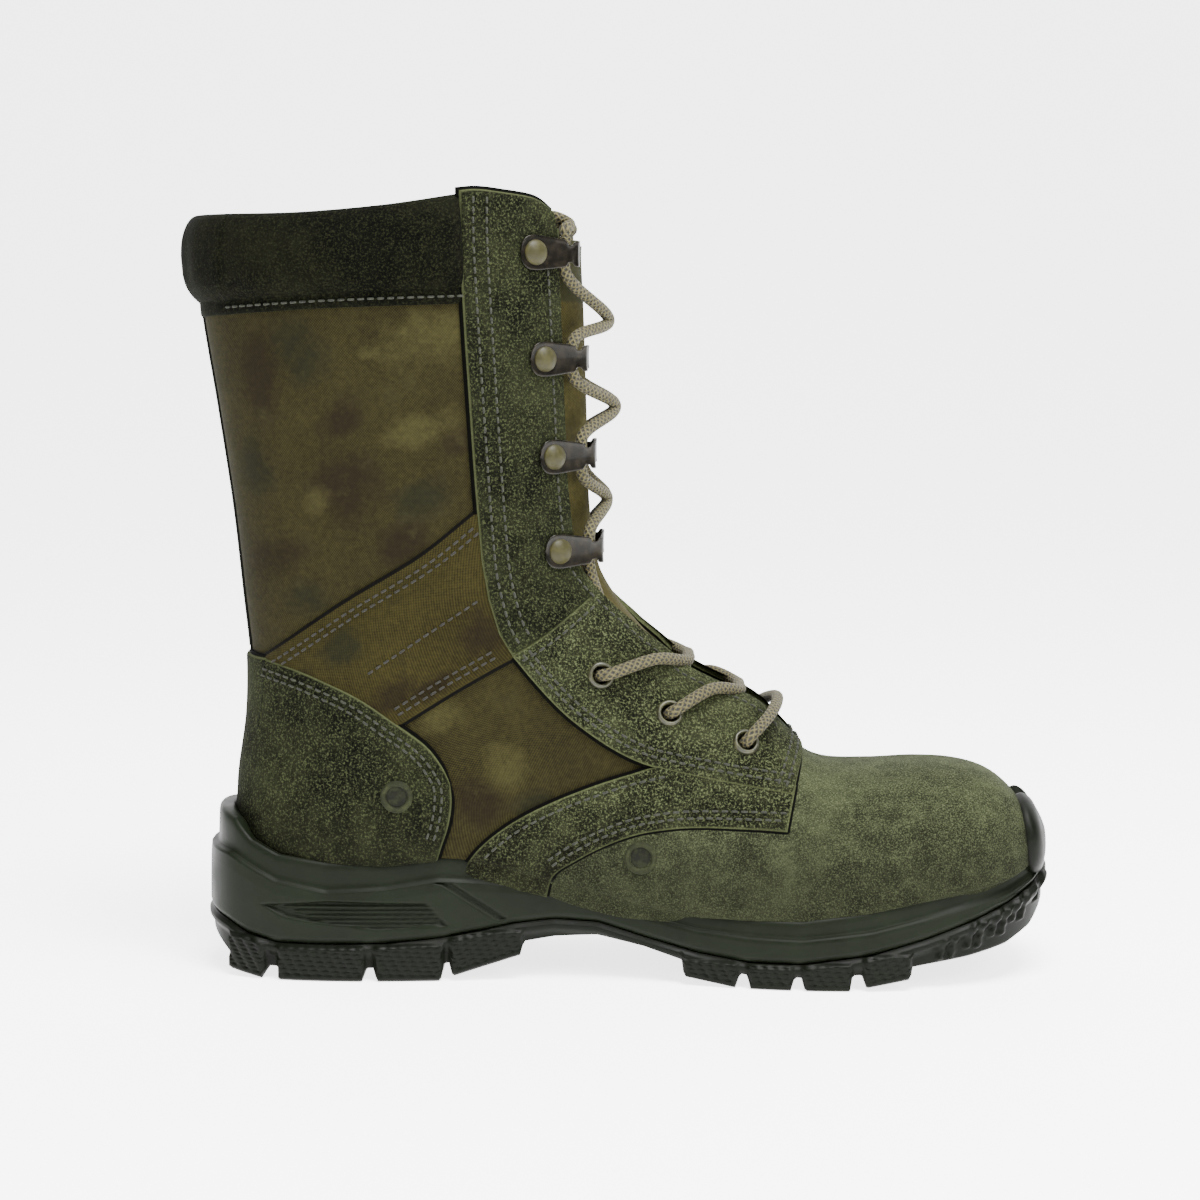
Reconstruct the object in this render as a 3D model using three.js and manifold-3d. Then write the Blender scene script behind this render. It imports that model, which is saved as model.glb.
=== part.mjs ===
// Jungle boot: a left boot, standing empty on its sole, in millimetres with +Z up.
// +X points to the toe and -Y is the inner side of the foot.
import * as THREE from "three";
import { mergeVertices } from "three/addons/utils/BufferGeometryUtils.js";
import Module from "manifold-3d";

const wasm = await Module();
wasm.setup();

// Driving sizes of the last
const SOLE_LENGTH = 302;
const BALL_WIDTH = 97;
const SHAFT_WIDTH = 90;
const INSTEP_HEIGHT = 121;
const COLLAR_HEIGHT = 265;

// Driving sizes of the sole
const SOLE_WIDTH = 103;
const RIM_HEIGHT = 41.5;
const LUG_DEPTH = 4;
const LUG_PROUD = 1.4;
const RIB_PROUD = 1.2;
const RIB_WIDTH = 1.9;
const BUMPER_THICKNESS = 4.6;
const INSOLE_THICKNESS = 3;

// Driving sizes of the upper and what is sewn to it
const WALL = 2;
const GAP = 0.3;
const TONGUE_THICKNESS = 1.6;
const SUEDE = 1.6;
const FACING_SUEDE = 2;
const STRAP_THICKNESS = 1.2;
const CUFF_THICKNESS = 5.2;
const CUFF_INSIDE = 3;
const STRIP_WIDTH = 8;
const STRIP_THICKNESS = 1;

// Driving sizes of the fittings and the lace
const HOOK_HALF_WIDTH = 6;
const RIVET_RADIUS = 4.4;
const PLATE_THICKNESS = 0.8;
const EYELET_RADIUS = 4.7;
const EYELET_HOLE = 3.1;
const VENT_RADIUS = 5.5;
const LACE_RADIUS = 2.15;

const lerp = (from, to, share) => from + (to - from) * share;
const clamp01 = (value) => Math.min(1, Math.max(0, value));

// A level is 0 on the ground, 1 at the instep bend and 2 at the top of the collar.
const levelToHeight = (level) =>
  level <= 1 ? level * INSTEP_HEIGHT : lerp(INSTEP_HEIGHT, COLLAR_HEIGHT, level - 1);

// Sections of the last fan round the instep, from flat ones in the shaft to upright ones at the toe.
// Lengths are shares of the sole's length, heights are levels, widths are shares of the ball width
// (of the shaft width above the bend), and drift is the sideways shift of the section's middle.
const SECTION_COLUMNS = [
  "backX", "backZ", "frontX", "frontZ", "inner", "outer", "drift", "widest", "frontPower", "backPower",
];
const SECTIONS = [
  [-0.013, 2.14, 0.448, 2.14, 0.5, 0.5, 0, 0.5, 2.2, 2.2],
  [0.0, 1.83, 0.456, 1.83, 0.5, 0.5, 0, 0.5, 2.2, 2.2],
  [0.02, 1.55, 0.46, 1.55, 0.478, 0.478, 0, 0.5, 2.2, 2.2],
  [0.036, 1.31, 0.463, 1.33, 0.438, 0.438, 0, 0.5, 2.3, 2.2],
  [0.046, 1.1, 0.473, 1.18, 0.402, 0.402, 0.005, 0.5, 2.4, 2.2],
  [0.053, 0.93, 0.493, 1.09, 0.387, 0.387, 0.01, 0.5, 2.5, 2.2],
  [0.051, 0.745, 0.52, 1.02, 0.376, 0.376, 0.015, 0.5, 2.7, 2.2],
  [0.04, 0.53, 0.548, 0.955, 0.378, 0.378, 0.015, 0.48, 2.8, 2.3],
  [0.046, 0.33, 0.573, 0.897, 0.38, 0.38, 0.01, 0.46, 2.8, 2.7],
  [0.116, 0.24, 0.599, 0.855, 0.378, 0.38, 0.01, 0.44, 2.8, 3.8],
  [0.232, 0.215, 0.629, 0.814, 0.376, 0.388, 0.01, 0.42, 2.8, 4.6],
  [0.364, 0.182, 0.657, 0.769, 0.385, 0.41, 0.005, 0.4, 2.7, 5],
  [0.48, 0.124, 0.684, 0.698, 0.415, 0.445, 0, 0.37, 2.6, 5],
  [0.579, 0.083, 0.709, 0.628, 0.448, 0.48, -0.005, 0.35, 2.5, 5],
  [0.679, 0.07, 0.742, 0.595, 0.48, 0.51, -0.01, 0.34, 2.4, 5],
  [0.768, 0.083, 0.795, 0.593, 0.485, 0.505, -0.02, 0.34, 2.4, 5],
  [0.844, 0.12, 0.848, 0.6, 0.465, 0.47, -0.03, 0.34, 2.5, 4.6],
  [0.901, 0.161, 0.894, 0.595, 0.42, 0.415, -0.045, 0.36, 2.6, 4],
  [0.94, 0.207, 0.93, 0.57, 0.352, 0.34, -0.055, 0.4, 2.6, 3.4],
  [0.964, 0.256, 0.957, 0.517, 0.272, 0.26, -0.06, 0.44, 2.5, 3],
  [0.978, 0.314, 0.975, 0.446, 0.165, 0.16, -0.065, 0.47, 2.3, 2.5],
  [0.983, 0.365, 0.983, 0.405, 0.05, 0.05, -0.068, 0.5, 2, 2],
].map((row) => Object.fromEntries(SECTION_COLUMNS.map((column, i) => [column, row[i]])));
const SECTION_SIDES = 24;

// A smooth value between the rows of a table, at a whole or part row number.
function rowValue(table, column, place) {
  const last = table.length - 1;
  const index = Math.min(Math.floor(place), last - 1);
  const t = place - index;
  const at = (i) => table[Math.min(last, Math.max(0, i))][column];
  const [a, b, c, d] = [at(index - 1), at(index), at(index + 1), at(index + 2)];
  const curve = (2 * a - 5 * b + 4 * c - d) * t * t + (3 * b - a - 3 * c + d) * t ** 3;
  return 0.5 * (2 * b + (c - a) * t + curve);
}

// A straight-line value of a table's column at a length along the sole.
function valueAlong(table, column, x) {
  const share = x / SOLE_LENGTH;
  let i = 0;
  while (i < table.length - 2 && table[i + 1].x < share) i += 1;
  const t = clamp01((share - table[i].x) / (table[i + 1].x - table[i].x));
  return lerp(table[i][column], table[i + 1][column], t);
}

// A point of the last at a section place and an angle: 0 is the front or top, 90 degrees the outer side.
function lastPoint(place, angle) {
  const value = (column) => rowValue(SECTIONS, column, place);
  const front = new THREE.Vector3(value("frontX") * SOLE_LENGTH, 0, levelToHeight(value("frontZ")));
  const back = new THREE.Vector3(value("backX") * SOLE_LENGTH, 0, levelToHeight(value("backZ")));
  const widthUnit = lerp(BALL_WIDTH, SHAFT_WIDTH, clamp01((value("frontZ") - 1) * 2));
  const along = Math.cos(angle);
  const across = Math.sin(angle);
  const power = along > 0 ? value("frontPower") : value("backPower");
  const size = (Math.abs(along) ** power + Math.abs(across) ** power) ** (-1 / power);
  const widest = value("widest");
  const reach = along > 0 ? 1 - widest : widest;
  const side = across > 0 ? value("outer") : value("inner");
  const point = back.lerp(front, widest + along * size * reach);
  point.y = (value("drift") + across * size * side) * widthUnit;
  return point;
}

// The last's outward normal, from short steps down and round it.
function lastNormal(row, angle) {
  const step = 0.01;
  const before = Math.max(0, row - step);
  const after = Math.min(SECTIONS.length - 1, row + step);
  const down = lastPoint(after, angle).sub(lastPoint(before, angle));
  const around = lastPoint(row, angle + step).sub(lastPoint(row, angle - step));
  return down.cross(around).normalize();
}

// The last's surface moved out along its normal, as rings from the shaft's top to the toe.
function lastRings(offset) {
  const angles = Array.from({ length: SECTION_SIDES }, (_, j) => (j / SECTION_SIDES) * 2 * Math.PI);
  return SECTIONS.map((_, row) =>
    angles.map((angle) => lastPoint(row, angle).addScaledVector(lastNormal(row, angle), offset)),
  );
}

// A closed solid from rings of equal length, its ends closed by steps between the ring's two halves.
function solidFromRings(rings) {
  const sides = rings[0].length;
  const points = rings.flat();
  const faces = [];
  const index = (i, j) => i * sides + (j % sides);
  for (let i = 0; i < rings.length - 1; i += 1) {
    for (let j = 0; j < sides; j += 1) {
      faces.push([index(i, j), index(i, j + 1), index(i + 1, j + 1)]);
      faces.push([index(i, j), index(i + 1, j + 1), index(i + 1, j)]);
    }
  }
  for (const [i, flip] of [[0, true], [rings.length - 1, false]]) {
    for (let j = 0; j < sides / 2; j += 1) {
      const [a, b] = [index(i, j), index(i, j + 1)];
      const [c, d] = [index(i, sides - j - 1), index(i, sides - j)];
      const pair = [];
      if (b !== c) pair.push([a, b, c]);
      if (j > 0) pair.push([a, c, d]);
      faces.push(...(flip ? pair.map((face) => [...face].reverse()) : pair));
    }
  }
  return solidFromFaces(points, faces);
}

// A solid from points and faces, turned right side out.
function solidFromFaces(points, faces) {
  const vertProperties = new Float32Array(points.flatMap((point) => [point.x, point.y, point.z]));
  const build = (triangles) => {
    const triVerts = new Uint32Array(triangles.flat());
    return new wasm.Manifold(new wasm.Mesh({ numProp: 3, vertProperties, triVerts }));
  };
  const solid = build(faces);
  return solid.volume() > 0 ? solid : build(faces.map(([a, b, c]) => [a, c, b]));
}

function solidFromGeometry(geometry) {
  geometry.deleteAttribute("normal");
  geometry.deleteAttribute("uv");
  const merged = mergeVertices(geometry, 1e-4);
  const vertProperties = new Float32Array(merged.attributes.position.array);
  return new wasm.Manifold(
    new wasm.Mesh({ numProp: 3, vertProperties, triVerts: new Uint32Array(merged.index.array) }),
  );
}

// A side outline of [x, z] points carried from one y to another.
function sidePrism(outline, fromY, toY) {
  const shape = new THREE.Shape(outline.map(([x, z]) => new THREE.Vector2(x, z)));
  const geometry = new THREE.ExtrudeGeometry(shape, { depth: toY - fromY, bevelEnabled: false });
  geometry.rotateX(Math.PI / 2);
  geometry.translate(0, toY, 0);
  return solidFromGeometry(geometry);
}

const last = (offset) => solidFromRings(lastRings(offset));
const FAR = 400;

// Plan of the sole: shares of the sole's length, and of its width to each side of the middle line.
const PLAN = [
  { x: 0.0, inner: 0, outer: 0 },
  { x: 0.01, inner: 0.165, outer: 0.165 },
  { x: 0.03, inner: 0.25, outer: 0.25 },
  { x: 0.06, inner: 0.305, outer: 0.305 },
  { x: 0.11, inner: 0.35, outer: 0.35 },
  { x: 0.18, inner: 0.37, outer: 0.37 },
  { x: 0.26, inner: 0.365, outer: 0.375 },
  { x: 0.34, inner: 0.345, outer: 0.375 },
  { x: 0.42, inner: 0.335, outer: 0.385 },
  { x: 0.5, inner: 0.36, outer: 0.415 },
  { x: 0.58, inner: 0.42, outer: 0.46 },
  { x: 0.66, inner: 0.48, outer: 0.5 },
  { x: 0.73, inner: 0.505, outer: 0.5 },
  { x: 0.8, inner: 0.5, outer: 0.475 },
  { x: 0.86, inner: 0.475, outer: 0.43 },
  { x: 0.915, inner: 0.425, outer: 0.36 },
  { x: 0.955, inner: 0.345, outer: 0.27 },
  { x: 0.985, inner: 0.235, outer: 0.15 },
  { x: 1.0, inner: 0.05, outer: -0.05 },
];
const PLAN_SIDES = 40;

// Side of the sole by length: heights are shares of the rim height, insets are millimetres.
const SIDE = [
  { x: 0.0, rim: 1.4, ledge: 1.08, parting: 0.53, web: 0.36, bed: 0.9, rimInset: 7.5, ledgeInset: 3.2 },
  { x: 0.03, rim: 1.33, ledge: 1.05, parting: 0.46, web: 0.16, bed: 0.9, rimInset: 6.5, ledgeInset: 3 },
  { x: 0.055, rim: 1.17, ledge: 0.96, parting: 0.37, web: 0.1, bed: 0.9, rimInset: 5, ledgeInset: 2.6 },
  { x: 0.09, rim: 1.06, ledge: 0.84, parting: 0.31, web: 0.096, bed: 0.89, rimInset: 4.2, ledgeInset: 2.2 },
  { x: 0.15, rim: 1.0, ledge: 0.76, parting: 0.305, web: 0.096, bed: 0.88, rimInset: 4, ledgeInset: 2 },
  { x: 0.22, rim: 1.0, ledge: 0.79, parting: 0.315, web: 0.1, bed: 0.86, rimInset: 4, ledgeInset: 2 },
  { x: 0.28, rim: 1.06, ledge: 0.86, parting: 0.355, web: 0.12, bed: 0.84, rimInset: 4, ledgeInset: 2 },
  { x: 0.33, rim: 1.05, ledge: 0.84, parting: 0.415, web: 0.2, bed: 0.8, rimInset: 3.6, ledgeInset: 1.8 },
  { x: 0.37, rim: 0.98, ledge: 0.8, parting: 0.475, web: 0.3, bed: 0.75, rimInset: 3.2, ledgeInset: 1.5 },
  { x: 0.415, rim: 0.885, ledge: 0.75, parting: 0.51, web: 0.355, bed: 0.68, rimInset: 3, ledgeInset: 1.3 },
  { x: 0.465, rim: 0.8, ledge: 0.67, parting: 0.49, web: 0.375, bed: 0.6, rimInset: 3, ledgeInset: 1.2 },
  { x: 0.52, rim: 0.695, ledge: 0.56, parting: 0.375, web: 0.3, bed: 0.51, rimInset: 3.4, ledgeInset: 1.2 },
  { x: 0.58, rim: 0.615, ledge: 0.47, parting: 0.27, web: 0.16, bed: 0.44, rimInset: 4, ledgeInset: 1.4 },
  { x: 0.64, rim: 0.576, ledge: 0.43, parting: 0.21, web: 0.1, bed: 0.4, rimInset: 4.4, ledgeInset: 1.6 },
  { x: 0.7, rim: 0.571, ledge: 0.42, parting: 0.21, web: 0.096, bed: 0.39, rimInset: 4.4, ledgeInset: 1.6 },
  { x: 0.78, rim: 0.655, ledge: 0.49, parting: 0.29, web: 0.125, bed: 0.43, rimInset: 4.2, ledgeInset: 1.6 },
  { x: 0.845, rim: 0.765, ledge: 0.6, parting: 0.42, web: 0.2, bed: 0.52, rimInset: 4.2, ledgeInset: 1.8 },
  { x: 0.895, rim: 0.845, ledge: 0.7, parting: 0.54, web: 0.25, bed: 0.61, rimInset: 4.4, ledgeInset: 2 },
  { x: 0.945, rim: 0.9, ledge: 0.78, parting: 0.675, web: 0.32, bed: 0.72, rimInset: 4.8, ledgeInset: 2 },
  { x: 0.975, rim: 0.98, ledge: 0.86, parting: 0.78, web: 0.42, bed: 0.8, rimInset: 5, ledgeInset: 2 },
  { x: 1.0, rim: 1.14, ledge: 0.98, parting: 0.92, web: 0.62, bed: 0.85, rimInset: 5, ledgeInset: 2 },
];
const sideHeight = (column, x) => valueAlong(SIDE, column, x) * RIM_HEIGHT;

// The plan as one closed curve, heel to toe along the inner side and back along the outer side.
const planCurve = new THREE.CatmullRomCurve3(
  [
    ...PLAN.map(({ x, inner }) => new THREE.Vector3(x * SOLE_LENGTH, -inner * SOLE_WIDTH, 0)),
    ...PLAN.slice(1, -1)
      .reverse()
      .map(({ x, outer }) => new THREE.Vector3(x * SOLE_LENGTH, outer * SOLE_WIDTH, 0)),
  ],
  true,
  "centripetal",
);

// One ring of the sole: the plan moved in by inset(x), at height(x).
function planRing(inset, height) {
  const ring = [];
  for (let i = 0; i < PLAN_SIDES; i += 1) {
    const point = planCurve.getPointAt(i / PLAN_SIDES);
    const heading = planCurve.getTangentAt(i / PLAN_SIDES);
    const along = point.x;
    point.x -= heading.y * inset(along);
    point.y += heading.x * inset(along);
    point.z = height(along);
    ring.push(point);
  }
  return ring;
}

// A slab that fills everything below (or above) a height that changes along the sole.
function slabAlong(column, offset, toZ) {
  const outline = [[-FAR, toZ], [-FAR, sideHeight(column, 0) + offset]];
  SIDE.forEach((row) => outline.push([row.x * SOLE_LENGTH, row[column] * RIM_HEIGHT + offset]));
  outline.push([FAR * 2, sideHeight(column, SOLE_LENGTH) + offset], [FAR * 2, toZ]);
  return sidePrism(outline, -FAR, FAR);
}

// Wall of the sole from the parting line to the rim, with the step under the rim.
const WALL_RINGS = [
  { inset: () => 1.2, height: (x) => sideHeight("parting", x) },
  { inset: () => 0.1, height: (x) => sideHeight("parting", x) + 2.6 },
  { inset: () => 0.3, height: (x) => lerp(sideHeight("parting", x), sideHeight("ledge", x), 0.85) },
  { inset: (x) => valueAlong(SIDE, "ledgeInset", x), height: (x) => sideHeight("ledge", x) + 0.8 },
  { inset: (x) => valueAlong(SIDE, "ledgeInset", x) + 0.5, height: (x) => sideHeight("rim", x) - 2 },
  { inset: (x) => valueAlong(SIDE, "rimInset", x), height: (x) => sideHeight("rim", x) },
];

// The same wall grown sideways and upwards, with its foot moved up or down.
function soleWall(growth, foot) {
  const rings = WALL_RINGS.map((ring, i) =>
    planRing((x) => ring.inset(x) - growth, (x) => ring.height(x) + (i === 0 ? foot : growth)),
  );
  return solidFromRings(rings);
}

// The upright prism of the plan, grown sideways.
const planPrism = (growth, fromZ, toZ) =>
  solidFromRings([planRing(() => -growth, () => fromZ), planRing(() => -growth, () => toZ)]);

// Outlines seen from the side, as shares of the sole's length and of the rim height
const SOLE_OUTLINES = {
  toeBumper: [
    [0.967, 0.7], [0.977, 0.915], [0.98, 1.23], [0.973, 1.4], [0.96, 1.54], [0.942, 1.67],
    [0.942, 1.9], [1.1, 1.9], [1.1, 0.7],
  ],
  pocket: [
    [0.07, 0.64], [0.15, 0.69], [0.268, 0.667], [0.293, 0.46], [0.21, 0.435], [0.13, 0.5],
    [0.1, 0.535],
  ],
  groove: [
    [0.27, 0.87], [0.292, 0.86], [0.365, 0.5], [0.352, 0.49], [0.285, 0.81], [0.27, 0.83],
  ],
};
const soleOutline = (name, shift = 0) =>
  sidePrism(SOLE_OUTLINES[name].map(([x, z]) => [x * SOLE_LENGTH + shift, z * RIM_HEIGHT]), -FAR, FAR);
const POCKET_DEPTH = 1.5;

// Ribs in the pocket, from the lowest to the highest: shares of the sole's length and of the rim height
const POCKET_RIBS = 5;
const POCKET_RIB_HALF = 0.5;
const LOWEST_RIB = { from: 0.16, z: 0.455 };
const HIGHEST_RIB = { from: 0.085, z: 0.645 };
const RIB_END = 0.285;

// Lugs by length: shares of the sole's length, with their lower corners and top as shares of the rim height
const LUGS = [
  { from: 0.034, to: 0.077, low: 0.06, lowEnd: 0, top: 0.361 },
  { from: 0.093, to: 0.194, low: 0, lowEnd: 0, top: 0.301 },
  { from: 0.207, to: 0.285, low: 0, lowEnd: 0, top: 0.313 },
  { from: 0.295, to: 0.378, low: 0.034, lowEnd: 0.217, top: 0.422 },
  { from: 0.565, to: 0.627, low: 0.072, lowEnd: 0, top: 0.217 },
  { from: 0.64, to: 0.69, low: 0, lowEnd: 0, top: 0.217 },
  { from: 0.702, to: 0.757, low: 0, lowEnd: 0, top: 0.229 },
  { from: 0.772, to: 0.826, low: 0.024, lowEnd: 0.096, top: 0.301 },
];
const LUG_CORNER = 3.5;
const CHANNEL_WIDTH = 12;
const RIB_SPACING = 1.9;
const RIB_LEAN = 0.25;
const RIB_DEPTH = 7;

// Pairs of ribs round the toe: place along the sole, and the heights of their ends, as such shares
const TOE_RIBS = [
  { x: 0.866, low: 0.241, high: 0.434 },
  { x: 0.899, low: 0.325, high: 0.566 },
  { x: 0.929, low: 0.41, high: 0.651 },
  { x: 0.955, low: 0.506, high: 0.783 },
  { x: 0.977, low: 0.627, high: 0.916 },
];

// Top edge of the upper's wall, as shares of the sole's length and levels: higher at the facings
const COLLAR_EDGE = [
  [-0.1, 1.958], [0.017, 1.958], [0.312, 1.993], [0.314, 2.041],
  [0.354, 2.035], [0.391, 2.014], [0.7, 2.01],
];

// All space above the top edge of the upper's wall.
function aboveCollar(offset) {
  const edge = COLLAR_EDGE.map(([x, level]) => [x * SOLE_LENGTH, levelToHeight(level) + offset]);
  return sidePrism([...edge, [0.7 * SOLE_LENGTH, FAR], [-0.1 * SOLE_LENGTH, FAR]], -FAR, FAR);
}

function makeUpper() {
  const shell = last(0).subtract(last(-WALL)).subtract(slabAlong("bed", 0, -FAR));
  return shell.subtract(aboveCollar(0)).subtract(throat(0)).subtract(eyeletHoles());
}

// The room that the upper and the insole take in the sole.
const footSpace = () => last(GAP).subtract(slabAlong("bed", -GAP, -FAR));

function makeMidsole() {
  const pocket = soleOutline("pocket").subtract(planPrism(-POCKET_DEPTH, -FAR, FAR));
  const groove = soleOutline("groove").subtract(planPrism(-POCKET_DEPTH, -FAR, FAR));
  let wall = soleWall(0, GAP).subtract(pocket).subtract(groove);
  const ribSpace = planPrism(-POCKET_RIB_HALF, -FAR, FAR).intersect(soleWall(0, GAP));
  for (let i = 0; i < POCKET_RIBS; i += 1) {
    const share = i / (POCKET_RIBS - 1);
    const z = lerp(LOWEST_RIB.z, HIGHEST_RIB.z, share) * RIM_HEIGHT;
    const from = lerp(LOWEST_RIB.from, HIGHEST_RIB.from, share) * SOLE_LENGTH;
    const [to, low, high] = [RIB_END * SOLE_LENGTH, z - POCKET_RIB_HALF, z + POCKET_RIB_HALF];
    const rib = sidePrism([[from, low], [to, low], [to, high], [from, high]], -FAR, FAR);
    wall = wall.add(rib.intersect(ribSpace));
  }
  return wall.subtract(footSpace()).subtract(soleOutline("toeBumper", -GAP));
}

// Outer wall of the outsole from its web up to the parting line
const OUTSOLE_RINGS = [
  { inset: 5, column: "web", lift: 0 },
  { inset: 0.6, column: "web", lift: 3 },
  { inset: -0.4, column: "parting", lift: -1.6 },
  { inset: 0.8, column: "parting", lift: 0 },
];

// A lug's side outline, its corners cut off.
function lugOutline(lug) {
  const [from, to] = [lug.from * SOLE_LENGTH, lug.to * SOLE_LENGTH];
  const [low, lowEnd, top] = [lug.low * RIM_HEIGHT, lug.lowEnd * RIM_HEIGHT, lug.top * RIM_HEIGHT];
  return [
    [from, low + LUG_CORNER],
    [from + LUG_CORNER / 2, low],
    [to - LUG_CORNER, lowEnd],
    [to, lowEnd + LUG_CORNER],
    [to - LUG_CORNER, top],
    [from + LUG_CORNER, top],
  ];
}

function makeOutsole() {
  const rings = OUTSOLE_RINGS.map(({ inset, column, lift }) =>
    planRing(() => inset, (x) => sideHeight(column, x) + lift),
  );
  const bumper = last(GAP + BUMPER_THICKNESS).add(soleWall(0, -1)).intersect(soleOutline("toeBumper"));
  let sole = solidFromRings(rings).add(bumper);
  const floor = [[-FAR, -FAR], [FAR, -FAR], [FAR, LUG_DEPTH], [-FAR, LUG_DEPTH]];
  const channel = sidePrism(floor, -CHANNEL_WIDTH / 2, CHANNEL_WIDTH / 2);
  const lugSpace = planPrism(LUG_PROUD, -FAR, FAR).subtract(channel).subtract(slabAlong("parting", -1, FAR));
  for (const lug of LUGS) sole = sole.add(sidePrism(lugOutline(lug), -FAR, FAR).intersect(lugSpace));
  const ribSpace = planPrism(RIB_PROUD, -FAR, FAR)
    .subtract(planPrism(-RIB_DEPTH, -FAR, FAR))
    .subtract(slabAlong("parting", -0.5, FAR).subtract(soleOutline("toeBumper")));
  for (const rib of TOE_RIBS) {
    for (const shift of [0, RIB_WIDTH * RIB_SPACING]) {
      const x = rib.x * SOLE_LENGTH + shift;
      const [low, high] = [rib.low * RIM_HEIGHT, rib.high * RIM_HEIGHT];
      const lean = (high - low) * RIB_LEAN;
      const outline = [[x, low], [x + RIB_WIDTH, low], [x + RIB_WIDTH + lean, high], [x + lean, high]];
      sole = sole.add(sidePrism(outline, -FAR, FAR).intersect(ribSpace));
    }
  }
  return sole.subtract(footSpace());
}

function makeInsole() {
  const bed = slabAlong("bed", INSOLE_THICKNESS, -FAR).subtract(slabAlong("bed", 0, -FAR * 2));
  return last(-WALL - GAP).intersect(bed);
}

// Half angle of the throat by section row, in degrees from the middle of the front.
const THROAT = [
  { row: 0, angle: 36 },
  { row: 2, angle: 36 },
  { row: 4, angle: 37 },
  { row: 5, angle: 32 },
  { row: 7, angle: 26 },
  { row: 10, angle: 22 },
  { row: 12, angle: 17 },
  { row: 12.6, angle: 8 },
];
const THROAT_STEPS = 12;
const THROAT_REACH = 9;

function throatAngle(row) {
  let i = 0;
  while (i < THROAT.length - 2 && THROAT[i + 1].row < row) i += 1;
  const t = clamp01((row - THROAT[i].row) / (THROAT[i + 1].row - THROAT[i].row));
  return THREE.MathUtils.degToRad(lerp(THROAT[i].angle, THROAT[i + 1].angle, t));
}

// The space of the throat through the wall, widened by an angle and lengthened by some rows.
function throat(wider, longer = 0) {
  const rings = [];
  const end = THROAT[THROAT.length - 1].row + longer;
  for (let i = 0; i <= THROAT_STEPS; i += 1) {
    const row = (i / THROAT_STEPS) * end;
    const half = throatAngle(row) + THREE.MathUtils.degToRad(wider);
    const inner = [];
    const outer = [];
    for (const share of [-1, 0, 1]) {
      const spot = lastPoint(row, share * half);
      const normal = lastNormal(row, share * half);
      outer.push(spot.clone().addScaledVector(normal, THROAT_REACH));
      inner.unshift(spot.clone().addScaledVector(normal, -THROAT_REACH));
    }
    rings.push([...outer, ...inner]);
  }
  return solidFromRings(rings);
}

// How far the tongue is wider (degrees) and longer (section rows) than the throat, and stands over the collar
const TONGUE_WIDER = 12;
const TONGUE_LONGER = 0.5;
const TONGUE_RISE = 1;

// Woven tongue under the throat, to the top of the facings.
function makeTongue() {
  const outside = -WALL - GAP * 2;
  const end = COLLAR_HEIGHT + TONGUE_RISE;
  const above = sidePrism([[-FAR, end], [FAR, end], [FAR, FAR], [-FAR, FAR]], -FAR, FAR);
  const sheet = last(outside).subtract(last(outside - TONGUE_THICKNESS));
  return sheet.intersect(throat(TONGUE_WIDER, TONGUE_LONGER)).subtract(above);
}

// Side outlines of the overlays, as shares of the sole's length and levels of the last
const OVERLAYS = {
  counter: [
    [0.053, 0.929], [0.077, 0.924], [0.115, 0.9], [0.149, 0.868], [0.19, 0.82], [0.232, 0.75],
    [0.266, 0.688], [0.285, 0.629], [0.295, 0.578], [0.296, 0.52], [0.292, 0.453], [0.283, 0.385],
    [0.27, 0.2], [-0.1, 0.2], [-0.1, 0.929],
  ],
  facing: [
    [0.308, 2.074], [0.311, 1.944], [0.317, 1.703], [0.325, 1.426], [0.333, 1.192], [0.341, 1.094],
    [0.353, 1.01], [0.368, 0.949], [0.407, 1.008], [0.47, 1.12], [0.6, 1.4], [0.6, 2.2], [0.415, 2.0],
    [0.393, 2.05], [0.357, 2.063], [0.33, 2.069],
  ],
  eyestay: [
    [0.368, 0.949], [0.407, 1.008], [0.47, 1.12], [0.6, 1.1], [0.73, 0.8], [0.704, 0.632],
    [0.691, 0.536], [0.55, 0.616], [0.516, 0.636], [0.485, 0.674], [0.454, 0.726], [0.424, 0.788],
    [0.393, 0.872],
  ],
  wing: [
    [0.324, 0.372], [0.361, 0.451], [0.408, 0.515], [0.454, 0.561], [0.501, 0.598], [0.55, 0.616],
    [0.691, 0.536], [0.684, 0.444], [0.638, 0.451], [0.577, 0.454], [0.531, 0.442], [0.501, 0.424],
    [0.47, 0.393], [0.439, 0.352], [0.414, 0.309], [0.39, 0.2], [0.31, 0.2],
  ],
  strap: [
    [0.078, 0.93], [0.171, 1.076], [0.261, 1.193], [0.325, 1.299], [0.42, 1.44], [0.42, 0.95],
    [0.359, 0.931], [0.296, 0.841], [0.236, 0.747], [0.15, 0.8],
  ],
  cuff: [
    [-0.1, 1.771], [0.04, 1.777], [0.163, 1.792], [0.316, 1.803], [0.307, 2.045], [0.229, 2.019],
    [0.13, 2.002], [-0.1, 2.0],
  ],
};
// Run of the back strip: levels of its ends, and a share of the sole's length that it stays behind
const STRIP_RUN = { low: 0.942, high: 1.767, x: 0.13 };
const overlayPoints = (name) => OVERLAYS[name].map(([x, level]) => [x * SOLE_LENGTH, levelToHeight(level)]);

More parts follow.
